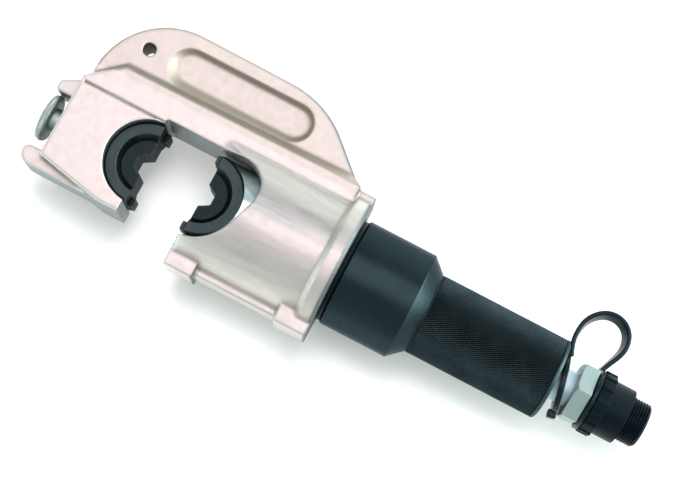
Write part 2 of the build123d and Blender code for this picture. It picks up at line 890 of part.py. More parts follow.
def dust_cap():
    """The screw cap: ring hub, ribbed collar, round body and a spare male thread on its end."""
    cap = turned(
        (cap_front_x, nose_thread_radius + running_clearance),
        (cap_front_x, cap_hub_radius),
        (cap_collar_x, cap_hub_radius),
        (cap_collar_x, cap_collar_radius),
        (cap_body_x, cap_collar_radius),
        (cap_body_x, cap_body_radius),
        (cap_plug_x, cap_body_radius),
        (cap_plug_x, cap_plug_radius),
        (cap_end_x - cap_plug_round, cap_plug_radius),
        (cap_end_x, cap_plug_radius - cap_plug_round),
        (cap_end_x, 0),
        (cap_socket_x, 0),
        (cap_socket_x, nose_thread_radius + running_clearance),
    )
    rib_length = cap_collar_length
    rib_height = cap_collar_radius + cap_rib_rise - cap_hub_radius
    rib = Pos(cap_collar_x + rib_length / 2, 0, cap_hub_radius + rib_height / 2) * Box(
        rib_length, cap_rib_width, rib_height
    )
    for index in range(cap_rib_count):
        cap += Rot(index * 360 / cap_rib_count, 0, 0) * rib
    return cap


def cap_gasket():
    """The sealing disc at the bottom of the cap's socket."""
    return rod(cap_socket_x - cap_gasket_thickness, cap_socket_x, nose_thread_radius)


def tether_path():
    """The strap's middle line, in one loop with arcs as large as its runs allow."""
    radii = []
    route = [Vector(handle_rear_x + behind, height) for behind, height in tether_route]
    for before, corner, after in zip(route, route[1:], route[2:]):
        incoming = corner - before
        outgoing = after - corner
        half_turn = math.radians(incoming.get_angle(outgoing) / 2)
        radii.append(route_arc_share * min(incoming.length, outgoing.length) / math.tan(half_turn))
    print("tether arc radii:", [round(radius, 1) for radius in radii])
    return FilletPolyline(*route, radius=radii)


def strap_section(path):
    """The strap's cross section at its start."""
    place = Plane(origin=path @ 0, x_dir=(0, 0, 1), z_dir=path % 0)
    return place * Rectangle(tether_width, tether_thickness)


def tether_neck_ring():
    """The tether's ring round the neck, a little tilted, with the strap's root and a closure block below."""
    lean = math.radians(math.hypot(neck_ring_tilt, neck_ring_turn))
    half = tether_ring_thickness / 2
    inner = (neck_radius + half * math.sin(lean)) / math.cos(lean) + seat_clearance
    body = ring(-half, half, inner, neck_ring_radius)
    body += block(
        (closure_shift - closure_length / 2, closure_shift + closure_length / 2),
        (-neck_ring_radius - closure_depth / 2, -neck_ring_radius + closure_depth / 2),
        tether_width / 2,
        closure_round,
    )
    body = Pos(neck_ring_x, 0, 0) * Rot(0, 0, neck_ring_tilt) * Rot(0, neck_ring_turn, 0) * body
    return body + extrude(strap_section(strap_path), -strap_root_length)


def tether_cap_ring():
    """The tether's ring on the cap's hub, which the cap turns in."""
    start = cap_front_x + free_clearance
    return ring(start, start + cap_ring_thickness, cap_hub_radius + running_clearance, cap_ring_radius)


def tether_strap():
    """The flat strap between the two rings."""
    strap = sweep(strap_section(strap_path), path=strap_path)
    print("tether length:", round(strap_path.length, 1), "volume share:",
          round(strap.volume / (strap_path.length * tether_width * tether_thickness), 4))
    return strap


strap_path = tether_path()


nodes = {
    "c_frame": c_frame(),
    "fixed_die": die(),
    "moving_die": Pos(moving_die_x, 0, 0) * Rot(0, 180, 0) * die(),
    "ram": ram(),
    "detent_ball": detent_ball(),
    "detent_spring": detent_spring(),
    "wear_ring": ram_ring(wear_x, wear_end_x, wear_floor),
    "piston_seal": ram_ring(piston_seal_x, backup_x, seal_floor),
    "backup_ring": ram_ring(backup_x, seal_rear_x, seal_floor),
    "spring_plug_front": spring_plug(ram_bore_x, 1),
    "return_spring": return_spring(),
    "spring_plug_rear": spring_plug_rear(),
    "release_pin": release_pin(),
    "release_knob": release_knob(),
    "release_bush": release_bush(),
    "release_spring": release_spring(),
    "cylinder": cylinder(),
    "rod_wiper": rod_wiper(),
    "joint_seal_ring": joint_seal_ring(),
    "handle": handle(),
    "handle_seal_washer": handle_seal_washer(),
    "nipple_seal_washer": nipple_seal_washer(),
    "neck_nipple": neck_nipple(),
    "coupler_body": coupler_body(),
    "check_poppet": check_poppet(),
    "poppet_seal": poppet_seal(),
    "poppet_spring": poppet_spring(),
    "dust_cap": dust_cap(),
    "cap_gasket": cap_gasket(),
    "tether_neck_ring": tether_neck_ring(),
    "tether_cap_ring": tether_cap_ring(),
    "tether_strap": tether_strap(),
}

os.makedirs("parts", exist_ok=True)
for name, solid in nodes.items():
    export_step(solid, f"parts/{name}.step")
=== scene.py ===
"""The finish of a hydraulic crimping head: skins, knurl, threads, tether and studio round its frame."""

import math

import bmesh
import bpy
from bpy.props import FloatProperty, FloatVectorProperty, IntProperty, PointerProperty
from mathutils import Matrix, Vector


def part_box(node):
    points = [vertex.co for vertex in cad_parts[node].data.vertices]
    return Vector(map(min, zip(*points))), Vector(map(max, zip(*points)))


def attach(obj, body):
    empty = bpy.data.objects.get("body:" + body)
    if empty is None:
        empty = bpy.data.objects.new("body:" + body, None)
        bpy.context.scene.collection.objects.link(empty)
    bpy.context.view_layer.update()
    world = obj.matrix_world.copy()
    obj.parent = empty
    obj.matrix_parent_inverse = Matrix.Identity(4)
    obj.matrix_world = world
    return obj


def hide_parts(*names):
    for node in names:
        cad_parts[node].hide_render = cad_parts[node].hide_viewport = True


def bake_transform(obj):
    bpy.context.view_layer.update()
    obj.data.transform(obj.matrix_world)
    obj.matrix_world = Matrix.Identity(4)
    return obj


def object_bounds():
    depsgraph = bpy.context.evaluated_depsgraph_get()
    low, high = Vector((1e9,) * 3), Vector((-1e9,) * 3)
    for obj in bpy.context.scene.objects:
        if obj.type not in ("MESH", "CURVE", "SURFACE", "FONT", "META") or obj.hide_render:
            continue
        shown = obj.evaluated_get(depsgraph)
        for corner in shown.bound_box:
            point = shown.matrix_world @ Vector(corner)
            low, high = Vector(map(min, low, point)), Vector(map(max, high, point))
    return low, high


bl_info = {
    "name": "Hydraulic crimping head finish",
    "version": (1, 0, 0),
    "blender": (4, 5, 0),
    "location": "View3D > Sidebar > Crimping head",
    "description": "Builds the finished pieces of a hydraulic crimping head around its packed frame",
    "category": "Add Mesh",
}

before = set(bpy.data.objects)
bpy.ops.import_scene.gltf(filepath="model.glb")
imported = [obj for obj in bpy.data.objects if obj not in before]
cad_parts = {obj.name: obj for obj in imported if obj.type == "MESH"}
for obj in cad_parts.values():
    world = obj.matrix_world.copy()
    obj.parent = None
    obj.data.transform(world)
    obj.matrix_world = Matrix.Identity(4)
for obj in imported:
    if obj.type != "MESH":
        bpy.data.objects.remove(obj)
cad_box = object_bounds()

# Working values of the mesh making, in metres where they are lengths
merge_distance = 1e-6
turned_steps = 144
sharp_angle = math.radians(28)
flat_weight = 100
bend_steps = 6


def extent(node):
    """Where a CAD node starts and ends along the ram axis, and how far it reaches up from it."""
    low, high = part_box(node)
    return low.x, high.x, high.z


# Places along the ram axis and radii about it, read from the frame
grip_start, grip_end, grip_radius = extent("handle")
joint_start, joint_end, joint_radius = extent("joint_seal_ring")
cylinder_start, cylinder_end, cylinder_radius = extent("cylinder")
neck_start, neck_end, neck_radius = extent("neck_nipple")
cap_start, cap_end, _ = extent("dust_cap")
_, cap_ring_end, cap_ring_radius = extent("tether_cap_ring")
knob_start, knob_end, knob_radius = extent("release_knob")
pin_start, pin_end, _ = extent("release_pin")
_, _, die_face = extent("fixed_die")
_, frame_end, _ = extent("c_frame")
floor_height = cad_box[0][2]

# Hidden sizes that follow the solids, in metres
wiper_radius = 0.0259
wiper_width = 0.004
thread_radius = 0.02797
groove_radius = 0.0258
bore_radius = 0.02356
bore_end = 0.1285
spigot_radius = 0.013
grip_socket_radius = 0.01305
grip_socket_end = 0.1732
neck_socket_radius = 0.00905
neck_socket_start = 0.21
oil_radius = 0.003
stub_radius = 0.008
cap_socket_radius = 0.01206
cap_socket_end = 0.2625
hub_hole = 0.00405
pin_radius = 0.003
pin_collar_radius = 0.0054
pin_collar_length = 0.002
pin_collar_start = -0.029
stem_radius = 0.004
pin_spigot_radius = 0.0025

# How the plate's tone turns with a face's level, which is 1 on a flat face across the head and 0 on a wall;
# the tone is painted light: a rosy tint of the key light on flats and painted shade on walls, on the web and
# its slopes and in the hang hole
flat_levels = (0.75, 0.98)
wall_levels = (0.55, 0.25)
slope_levels = (0.985, 0.845)
web_shade = 0.25
slope_shade = 0.65
hole_shade_share = 0.15

# The barrel's tone: runs in metres, rises in degrees, shares of streaks, and the painted shade on faces that
# face the rear; a band of painted shade lies on the barrel where its faces rise by the band's tilt
tone_run = 0.008
shade_band_reach = 1.4
flank_rises = (15, 40)
onset_streaks = 0.35
shade_band_streaks = 0.65
collar_streaks = 0.2
# Painted shade: faces that face the rear are painted darker, towards this share of the wall grey
rear_facing = (0.0, 0.4)
rear_shade_share = 0.5

# The spare thread's flanks: their slope and the shift that leaves flat crests
flank_slope = 1.6
crest_shift = -0.3

# Stretches of a pattern into lines: along the ram axis, round it, across the dies and along the hexagon
axial_lines = (0.16, 1, 1)
turning_lines = (1, 0.02, 0.02)
die_lines = (1, 1, 0.1)
hex_lines = (0.1, 1, 1)

# Springs, each with the bodies at its front and rear
working_springs = (
    ("release_spring", "head", "release"),
    ("return_spring", "ram", "head"),
    ("poppet_spring", "head", "poppet"),
)

# CAD nodes inside the object that are shown as they are, by finish
inner_nodes = {
    "spring_steel": ("detent_spring", "spring_plug_front", "spring_plug_rear", "check_poppet"),
    "bronze": ("release_bush", "handle_seal_washer", "nipple_seal_washer"),
    "chrome": ("detent_ball",),
    "seal_rubber": ("rod_wiper", "piston_seal", "poppet_seal", "cap_gasket"),
    "guide_plastic": ("wear_ring", "backup_ring"),
}

# The tether's route between its rings, as places behind the grip's end and heights over the axis
tether_route = [
    (0.0024, 0.0165),
    (0.0008, 0.0218),
    (0.0007, 0.0273),
    (0.0016, 0.0330),
    (0.0046, 0.0381),
    (0.0094, 0.0420),
    (0.0154, 0.0430),
    (0.0209, 0.0410),
    (0.0243, 0.0368),
    (0.0255, 0.0313),
    (0.0245, 0.0263),
    (0.0223, 0.0215),
    (0.0206, 0.0174),
]


def length(name, description, default):
    """A size that a user may change, in metres."""
    return FloatProperty(
        name=name, description=description, default=default, min=0, precision=5, unit="LENGTH"
    )


def colour(name, description, default):
    """A colour that a user may change."""
    return FloatVectorProperty(
        name=name, description=description, default=default, size=3, subtype="COLOR", min=0, max=1
    )


def spot(name, description, default):
    """A point that a user may move."""
    return FloatVectorProperty(
        name=name, description=description, default=default, size=3, subtype="TRANSLATION"
    )


def angle(name, description, degrees):
    """An angle that a user may change."""
    return FloatProperty(name=name, description=description, default=math.radians(degrees), subtype="ANGLE")


def strength(name, description, default):
    """A strength of light or surface that a user may change."""
    return FloatProperty(name=name, description=description, default=default, min=0)


def count(name, description, default):
    """A whole number that a user may change."""
    return IntProperty(name=name, description=description, default=default, min=1)


class ForgingSettings(bpy.types.PropertyGroup):
    """The forged head and the dies in it."""

    head_grid: length("Head grid", "Grid of the forged head's soft skin", 0.00055)
    head_passes: count("Head softening", "How often the forged edges are smoothed", 7)
    head_triangles: count("Head triangles", "Most triangles of the forged head", 170000)
    web_low: spot("Web low", "Lowest corner of the web", (-0.06, 0.034, -0.001))
    web_high: spot("Web high", "Highest corner of the web", (0.11, 0.08, 0.04))
    web_passes: count("Web softening", "How often the web's edges are smoothed further", 8)
    hang_hole: spot("Hang hole", "Middle of the hole in the web", (-0.028, 0.0528, 0.0))
    # Painted shade: the wall of the hang hole is painted dark within this reach
    hole_shade_reach: length("Hang reach", "Reach of the grime in that hole", 0.0038)
    blend_low: spot("Blend low", "Lowest corner of the blend at the band", (0.022, 0.0248, 0.014))
    blend_high: spot("Blend high", "Highest corner of that blend", (0.099, 0.034, 0.04))
    blend_passes: count("Blend softening", "How often that blend is smoothed further", 40)
    die_grid: length("Die grid", "Grid of the dies' skins", 0.0003)
    die_passes: count("Die softening", "How often the die edges are smoothed", 3)
    die_triangles: count("Die triangles", "Most triangles of a die", 60000)
    # Painted light: the rosy tone on flats is a painted tint of the key light, and the paler tone on rounds
    # is a painted tint of the room's light
    nickel: colour("Nickel on flats", "Satin nickel plate on the flat faces", (0.65, 0.565, 0.57))
    nickel_round: colour("Nickel on rounds", "Plate on the barrel's flanks", (0.69, 0.68, 0.66))
    # Painted shade: the dark grey on the walls is painted shade, and the plate's random blotches and streaks
    # also turn towards it
    nickel_wall_shade_and_blotch: colour("Nickel on walls", "Plate on the jaw's and throat's walls", (0.235, 0.265, 0.27))
    # Painted shade: this brown is painted shade in the inner corners, on the web and its slopes and on the
    # barrel's flanks
    nickel_shade: colour("Nickel in corners", "Plate in the inner corners", (0.41, 0.345, 0.285))
    collar_length: length("Collar length", "Length of the barrel's rear collar", 0.0105)
    barrel_start: length("Barrel start", "Place where the barrel begins behind the throat", 0.031)
    # Painted shade: a darker grey band is painted along the barrel where its faces rise by about this tilt
    shade_band_tilt: strength("Smear tilt", "Tilt in degrees of the plate that is smeared most", 14.0)
    shade_band_width: strength("Smear width", "Width of that smear in degrees", 10.0)
    shade_band: strength("Smear", "How dark that smear is", 0.45)
    # Painted shade: the barrel's flanks are painted browner as they rise
    flank_shade: strength("Flank shade", "How far the plate turns brown on the barrel's flanks", 0.36)
    oxide: colour("Black oxide", "Oxide on the dies", (0.034, 0.048, 0.050))
    oxide_worn: colour("Worn oxide", "Oxide rubbed thin on the dies' edges", (0.11, 0.135, 0.14))
    # Painted shade: the dies' oxide is painted darker the deeper it lies under the face
    recess_depth: length("Recess depth", "Depth under a die's face where its oxide is darkest", 0.005)
    chrome: colour("Chrome", "Hard chrome on the ram", (0.60, 0.71, 0.77))


class GripSettings(bpy.types.PropertyGroup):
    """The cylinder and the knurled grip."""

    cone_length: length("Cone length", "Length of the cylinder's cone shoulder", 0.007)
    edge_chamfer: length("Edge chamfer", "Chamfer on the cylinder's rims", 0.0008)
    edge_round: length("Edge round", "Rounding of turned edges", 0.0003)
    fine_round: length("Fine round", "Rounding of the grip's fine edges", 0.00012)
    end_round: length("Grip end round", "Rounding of the grip's rear end", 0.0016)
    knurl_pitch: length("Knurl pitch", "Pitch of the diamonds round the grip", 0.00116)
    knurl_step: length("Knurl step", "Pitch of the diamonds along the grip", 0.0021)
    knurl_depth: length("Knurl depth", "Depth of the diamond knurl", 0.0005)
    front_chamfer: length("Front chamfer", "Chamfer on the grip's front rim", 0.0002)
    front_band: length("Front band", "Plain band before the knurl", 0.0004)
    rear_band: length("Rear band", "Plain band behind the knurl", 0.0021)
    enamel: colour("Blacking", "Satin black on the cylinder", (0.0195, 0.0315, 0.0365))
    grip_black: colour("Grip black", "Black in the knurl's grooves", (0.007, 0.012, 0.015))
    grip_worn: colour("Grip worn", "Black rubbed on the knurl's tips", (0.072, 0.105, 0.118))
    edge_sheen: colour("Edge sheen", "How far black steel shines towards its outline", (0.55, 0.57, 0.58))
    rubber: colour("Rubber", "Rubber of the joint ring and the seals", (0.002, 0.004, 0.005))
    sheen: colour("Sheen", "Tint of the light that black plastic throws back", (0.58, 0.87, 1.0))
    spring_steel: colour("Spring steel", "Springs, plugs and poppet", (0.45, 0.46, 0.48))
    bronze: colour("Bronze", "Bush and sealing washers", (0.62, 0.42, 0.24))
    guide_plastic: colour("Guide plastic", "Guide and backup rings", (0.16, 0.11, 0.05))


class CouplerSettings(bpy.types.PropertyGroup):
    """The neck, the hexagon and the dust cap."""

    edge_round: length("Edge round", "Rounding of turned and moulded edges", 0.0003)
    hex_grid: length("Hexagon grid", "Grid of the hexagon's skin", 0.0003)
    hex_passes: count("Hexagon softening", "How often the hexagon's edges are smoothed", 3)
    hex_triangles: count("Hexagon triangles", "Most triangles of the coupler body", 60000)
    hub_radius: length("Hub radius", "Radius of the cap's hub", 0.0143)
    hub_length: length("Hub length", "Length of the cap's hub", 0.0028)
    collar_radius: length("Collar radius", "Radius of the ribbed collar", 0.01625)
    collar_length: length("Collar length", "Length of the ribbed collar", 0.0064)
    body_radius: length("Cap radius", "Radius of the cap's plain part", 0.0145)
    body_length: length("Cap body length", "Length of the cap's plain part", 0.0114)
    plug_radius: length("Thread radius", "Radius over the spare thread's crests", 0.0117)
    thread_pitch: length("Thread pitch", "Pitch of the spare thread", 0.0015)
    thread_depth: length("Thread depth", "Depth of the spare thread", 0.0007)
    plug_round: length("Plug chamfer", "Chamfer at the end of the spare thread", 0.0012)
    thread_rings: count("Thread rings", "Rings of points along the spare thread", 96)
    rib_count: count("Ribs", "Ribs round the cap's collar", 14)
    rib_width: length("Rib width", "Width of a rib", 0.0024)
    rib_rise: length("Rib rise", "Rise of a rib over the collar", 0.0007)
    rib_round: length("Rib round", "Rounding of a rib's edges", 0.0004)
    zinc: colour("Bright zinc", "Zinc on the neck", (0.62, 0.76, 0.86))
    green_zinc: colour("Greenish zinc", "Pale zinc on the hexagon", (0.32, 0.415, 0.43))
    cap_black: colour("Cap plastic", "Moulded plastic of the cap", (0.001, 0.0026, 0.004))


class TetherSettings(bpy.types.PropertyGroup):
    """The cap's moulded tether."""

    width: length("Strap width", "Width of the flat strap", 0.008)
    thickness: length("Strap thickness", "Thickness of the flat strap", 0.0025)
    edge_round: length("Edge round", "Rounding of the moulded edges", 0.0007)
    ring_thickness: length("Ring thickness", "Thickness of the neck ring", 0.0028)
    ring_radius: length("Ring radius", "Outer radius of the neck ring", 0.0155)
    ring_hole: length("Ring hole", "Hole of the neck ring", 0.00958)
    ring_place: length("Ring place", "Place of the neck ring", 0.2324)
    ring_tilt: angle("Ring tilt", "Tilt of the neck ring, up and down", 11.5)
    ring_turn: angle("Ring turn", "Turn of the neck ring, to and fro", -5)
    cap_ring_thickness: length("Cap ring", "Thickness of the cap ring", 0.0022)
    root_length: length("Root length", "Length of the strap's roots on its rings", 0.002)
    root_lap: length("Root lap", "How far a root reaches into the strap", 0.0003)
    closure_length: length("Closure length", "Length of the block that closes the neck ring", 0.0046)
    closure_shift: length("Closure shift", "How far that block is set towards the grip", 0.0007)
    closure_depth: length("Closure depth", "Depth of that block", 0.0045)
    closure_round: length("Closure round", "Rounding of that block's edges", 0.0009)
    strap_length: length("Strap length", "Length of the strap between its rings", 0.0628)
    band_tilt: angle("Strap tilt", "Lean of the strap in the middle of its loop", -20)
    band_steps: count("Strap steps", "Steps round the strap's edges and between its points", 6)
    hub_clearance: length("Hub clearance", "Clearance of the cap ring on its hub", 0.00006)
    rubber: colour("Tether", "Moulded black of the tether", (0.001, 0.0026, 0.004))


class KnobSettings(bpy.types.PropertyGroup):
    """The pull knob on the nose."""

    edge: length("Knob edge", "Chamfer of the knob's rims", 0.0007)
    thickness: length("Knob thickness", "Thickness of the knob's disc", 0.0044)
    hub_radius: length("Hub radius", "Radius of the hub behind the disc", 0.0063)
    dish_radius: length("Dish radius", "Radius of the dish in the knob's face", 0.0075)
    dish_floor: length("Dish floor", "Radius of the dish's floor", 0.00625)
    edge_round: length("Edge round", "Rounding of turned edges", 0.0002)
    ridge_count: count("Ridges", "Fine ridges round the rim", 72)
    ridge_rings: count("Ridge rings", "Rings of points along a ridge", 3)
    ridge_depth: length("Ridge depth", "Depth of the fine ridges", 0.0003)
    ridge_inset: length("Ridge inset", "How far the ridges stop short of the rims", 0.0002)
    zinc: colour("Dull zinc", "Zinc on the knob and its pin", (0.50, 0.565, 0.54))


class StageSettings(bpy.types.PropertyGroup):
    """The studio."""

    eye: spot("Camera", "Place of the camera", (0.132, -0.105, 0.783))
    aim: spot("Aim", "Point that the camera looks at", (0.1064, 0.0142, 0.0))
    roll: angle("Roll", "How far the ram axis falls to the right in the picture", 27.5)
    lens: FloatProperty(name="Lens", description="Focal length", default=81.0, unit="CAMERA")
    floor_size: length("Floor size", "Side of the floor", 6.0)
    floor: colour("Floor", "Pale floor", (0.86, 0.86, 0.86))
    room: colour("Room", "Colour of the light all round", (0.90, 1.0, 0.97))
    room_level: strength("Room", "Light from all round", 0.7)
    room_far: strength("Far side", "Glow beyond the web", 0.76)
    room_near: strength("Near side", "Glow before the throat", 0.3)
    room_rear: strength("Rear end", "Glow behind the coupler", 13.0)
    room_front: strength("Front end", "Glow before the nose", 1.5)
    glow_narrowing: strength("Glow narrowing", "How narrow the glows are", 8.0)
    rear_turn: angle("Rear turn", "How far the rear glow is turned to the far side", 26)
    key: colour("Key colour", "Colour of the large light", (1.0, 0.91, 0.91))
    key_power: strength("Key light", "Power of the large light", 8.8)
    key_size: length("Key width", "Width of the large light", 1.7)
    key_depth: length("Key depth", "Depth of the large light", 1.01)
    key_place: spot("Key place", "Place of the large light", (0.1, 0.245, 1.2))
    drop: colour("Drop colour", "Colour of the light that casts the shadow", (1.0, 1.0, 1.0))
    drop_power: strength("Drop light", "Power of the light that casts the shadow", 11.0)
    drop_size: length("Drop size", "Side of the light that casts the shadow", 0.5)
    drop_place: spot("Drop place", "Place of the light that casts the shadow", (-0.04, 0.30, 1.2))


def add_node(tree, kind, inputs=None, **traits):
    """A node with its traits and inputs set; an input that is another node's socket is linked."""
    node = tree.nodes.new(kind)
    for trait, value in traits.items():
        setattr(node, trait, value)
    for key, value in (inputs or {}).items():
        if isinstance(value, bpy.types.NodeSocket):
            tree.links.new(value, node.inputs[key])
        else:
            node.inputs[key].default_value = value
    return node


def calculate(tree, operation, *values, clamp=False):
    """The result of one sum on numbers or sockets."""
    node = add_node(tree, "ShaderNodeMath", dict(enumerate(values)), operation=operation, use_clamp=clamp)
    return node.outputs[0]


def new_piece(name, mesh, finish=None):
    """An object at the origin that shows a mesh in one finish."""
    piece = bpy.data.objects.new(name, mesh)
    bpy.context.scene.collection.objects.link(piece)
    if finish:
        mesh.materials.clear()
        mesh.materials.append(finish)
    return piece


def settle(piece):
    """Turns a piece and its modifiers into one plain mesh."""
    bpy.context.view_layer.update()
    evaluated = piece.evaluated_get(bpy.context.evaluated_depsgraph_get())
    mesh = bpy.data.meshes.new_from_object(evaluated)
    piece.modifiers.clear()
    piece.data = mesh
    mesh.name = piece.name
    return piece


def shade(piece):
    """Smooth shading that keeps the sharp edges."""
    piece.data.shade_smooth()
    piece.data.set_sharp_from_angle(angle=sharp_angle)
    return piece


def from_shape(shape, name, finish):
    """A piece from an edited mesh, with its doubles merged and its faces outwards."""
    bmesh.ops.remove_doubles(shape, verts=shape.verts, dist=merge_distance)
    bmesh.ops.recalc_face_normals(shape, faces=shape.faces)
    mesh = bpy.data.meshes.new(name)
    shape.to_mesh(mesh)
    shape.free()
    return new_piece(name, mesh, finish)


def bevelled(piece, width, segments=3):
    """Rounds a piece's sharp edges."""
    bevel = piece.modifiers.new("Edges", "BEVEL")
    bevel.width = width
    bevel.segments = segments
    bevel.limit_method = "ANGLE"
    bevel.angle_limit = sharp_angle
    return shade(settle(piece))


def turned(name, profile, edge_round, finish):
    """A piece turned about the ram axis from a closed outline of (x, radius) corners, with rounded edges."""
    shape = bmesh.new()
    corners = [shape.verts.new((x, radius, 0)) for x, radius in profile]
    for first, second in zip(corners, corners[1:] + corners[:1]):
        if first.co.y or second.co.y:
            shape.edges.new((first, second))
    outline = shape.verts[:] + shape.edges[:]
    bmesh.ops.spin(shape, geom=outline, axis=(1, 0, 0), cent=(0, 0, 0), angle=math.tau, steps=turned_steps)
    return bevelled(from_shape(shape, name, finish), edge_round)


def stepped(*sections):
    """Corners along a stepped outline of (start, radius) sections; the last gives only where it ends."""
    return [
        (place, radius)
        for (start, radius), (end, _) in zip(sections, sections[1:])
        for place in (start, end)
    ]


def hoop(name, start, end, hole, radius, edge_round, finish):
    """A plain turned ring."""
    return turned(name, [(start, hole), (start, radius), (end, radius), (end, hole)], edge_round, finish)


def bar(name, size, place, edge_round, finish):
    """A block of this size at a place, with rounded edges."""
    shape = bmesh.new()
    bmesh.ops.create_cube(shape, size=1, matrix=place @ Matrix.Diagonal((*size, 1)))
    return bevelled(from_shape(shape, name, finish), edge_round)


def joined(name, finish, *pieces):
    """One piece from several that are cast or cut in one."""
    shape = bmesh.new()
    for piece in pieces:
        shape.from_mesh(piece.data)
        bpy.data.objects.remove(piece)
    mesh = bpy.data.meshes.new(name)
    shape.to_mesh(mesh)
    shape.free()
    return new_piece(name, mesh, finish)


def merged_copy(node, name, finish):
    """A copy of a CAD node's mesh, with its loose triangles merged."""
    shape = bmesh.new()
    shape.from_mesh(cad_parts[node].data)
    return from_shape(shape, name, finish)


def soft_copy(node, name, finish, grid, passes, most_triangles, regions=()):
    """A skin over a CAD node with soft edges; a region is a box, above and below, with more passes."""
    piece = merged_copy(node, name, finish)
    skin = piece.modifiers.new("Skin", "REMESH")
    skin.mode = "VOXEL"
    skin.voxel_size = grid
    soften = piece.modifiers.new("Soften", "SMOOTH")
    soften.iterations = passes
    settle(piece)
    for low, high, more_passes in regions:
        inside = [
            vertex.index
            for vertex in piece.data.vertices
            if all(a < b < c for a, b, c in zip(low, (*vertex.co.xy, abs(vertex.co.z)), high))
        ]
        region = piece.vertex_groups.new(name="Region")
        region.add(inside, 1.0, "REPLACE")
        more = piece.modifiers.new("Soften more", "SMOOTH")
        more.iterations = more_passes
        more.vertex_group = region.name
    triangles = 2 * len(piece.data.polygons)
    if triangles > most_triangles:
        thin = piece.modifiers.new("Thin", "DECIMATE")
        thin.ratio = most_triangles / triangles
    settle(piece)
    piece.data.shade_smooth()
    flats = piece.modifiers.new("Flats", "WEIGHTED_NORMAL")
    flats.weight = flat_weight
    settle(piece)
    piece.data.materials.clear()
    piece.data.materials.append(finish)
    return piece


def shape_tree(name, measures, counts):
    """A geometry tree with inputs for its measures, counts and finish, and the node that gives them."""
    tree = bpy.data.node_groups.new(name, "GeometryNodeTree")
    tree.interface.new_socket("Geometry", in_out="OUTPUT", socket_type="NodeSocketGeometry")
    kinds = ((measures, "NodeSocketFloat"), (counts, "NodeSocketInt"), (("Finish",), "NodeSocketMaterial"))
    for labels, kind in kinds:
        for label in labels:
            tree.interface.new_socket(label, in_out="INPUT", socket_type=kind)
    return tree, tree.nodes.new("NodeGroupInput").outputs


def close_tree(tree, geometry, inputs):
    """Ends a geometry tree in real faces that carry the finish."""
    real = add_node(tree, "GeometryNodeRealizeInstances", {"Geometry": geometry})
    painted = add_node(
        tree, "GeometryNodeSetMaterial", {"Geometry": real.outputs["Geometry"], "Material": inputs["Finish"]}
    )
    add_node(tree, "NodeGroupOutput", {"Geometry": painted.outputs["Geometry"]})
    return tree


def grown(name, tree, finish, **values):
    """The plain mesh piece that a geometry tree gives for these inputs."""
    piece = new_piece(name, bpy.data.meshes.new(name))
    growth = piece.modifiers.new(name, "NODES")
    growth.node_group = tree
    values["finish"] = finish
    for item in tree.interface.items_tree:
        if item.in_out == "INPUT":
            growth[item.identifier] = values[item.name.lower()]
    return settle(piece)


def sleeve(tree, inputs):
    """Nodes for a closed round sleeve along X, and sockets for its axial place, bearing and outward way."""
    tube = add_node(
        tree,
        "GeometryNodeMeshCylinder",
        {
            "Vertices": inputs["Points"],
            "Side Segments": inputs["Rings"],
            "Radius": inputs["Radius"],
            "Depth": inputs["Length"],
        },
    )
    middle = calculate(tree, "MULTIPLY_ADD", inputs["Length"], 0.5, inputs["Start"])
    place = add_node(tree, "ShaderNodeCombineXYZ", {"X": middle})
    laid = add_node(
        tree,
        "GeometryNodeTransform",
        {"Geometry": tube.outputs["Mesh"], "Translation": place.outputs[0], "Rotation": (0, math.pi / 2, 0)},
    )
    position = add_node(tree, "GeometryNodeInputPosition").outputs[0]
    parts = add_node(tree, "ShaderNodeSeparateXYZ", {0: position})
    spoke = add_node(tree, "ShaderNodeCombineXYZ", {"Y": parts.outputs["Y"], "Z": parts.outputs["Z"]})
    outward = add_node(tree, "ShaderNodeVectorMath", {0: spoke.outputs[0]}, operation="NORMALIZE").outputs[0]
    bearing = calculate(tree, "ARCTAN2", parts.outputs["Z"], parts.outputs["Y"])
    return laid.outputs["Geometry"], parts.outputs["X"], bearing, outward


def pushed(tree, geometry, outward, distance):
    """Nodes that push a sleeve's points outwards by a distance."""
    push = add_node(tree, "ShaderNodeVectorMath", {0: outward, "Scale": distance}, operation="SCALE")
    moved = add_node(tree, "GeometryNodeSetPosition", {"Geometry": geometry, "Offset": push.outputs[0]})
    return moved.outputs[0]


def knurl_tree():
    """A sleeve whose every other point stands out: diamonds where the rings alternate, else ridges."""
    tree, inputs = shape_tree(
        "Knurled sleeve", ("Start", "Length", "Radius", "Depth"), ("Points", "Rings", "Alternate")
    )
    geometry, _, _, outward = sleeve(tree, inputs)
    index = add_node(tree, "GeometryNodeInputIndex").outputs[0]
    ring = calculate(tree, "FLOOR", calculate(tree, "DIVIDE", index, inputs["Points"]))
    order = calculate(tree, "MULTIPLY_ADD", ring, inputs["Alternate"], index)
    odd = calculate(tree, "MODULO", order, 2.0)
    from_front = calculate(tree, "GREATER_THAN", ring, 0.5)
    from_rear = calculate(tree, "LESS_THAN", ring, calculate(tree, "SUBTRACT", inputs["Rings"], 0.5))
    raised = calculate(tree, "MULTIPLY", odd, calculate(tree, "MULTIPLY", from_front, from_rear))
    geometry = pushed(tree, geometry, outward, calculate(tree, "MULTIPLY", raised, inputs["Depth"]))
    cut = add_node(tree, "GeometryNodeTriangulate", {"Mesh": geometry}, quad_method="SHORTEST_DIAGONAL")
    return close_tree(tree, cut.outputs["Mesh"], inputs)


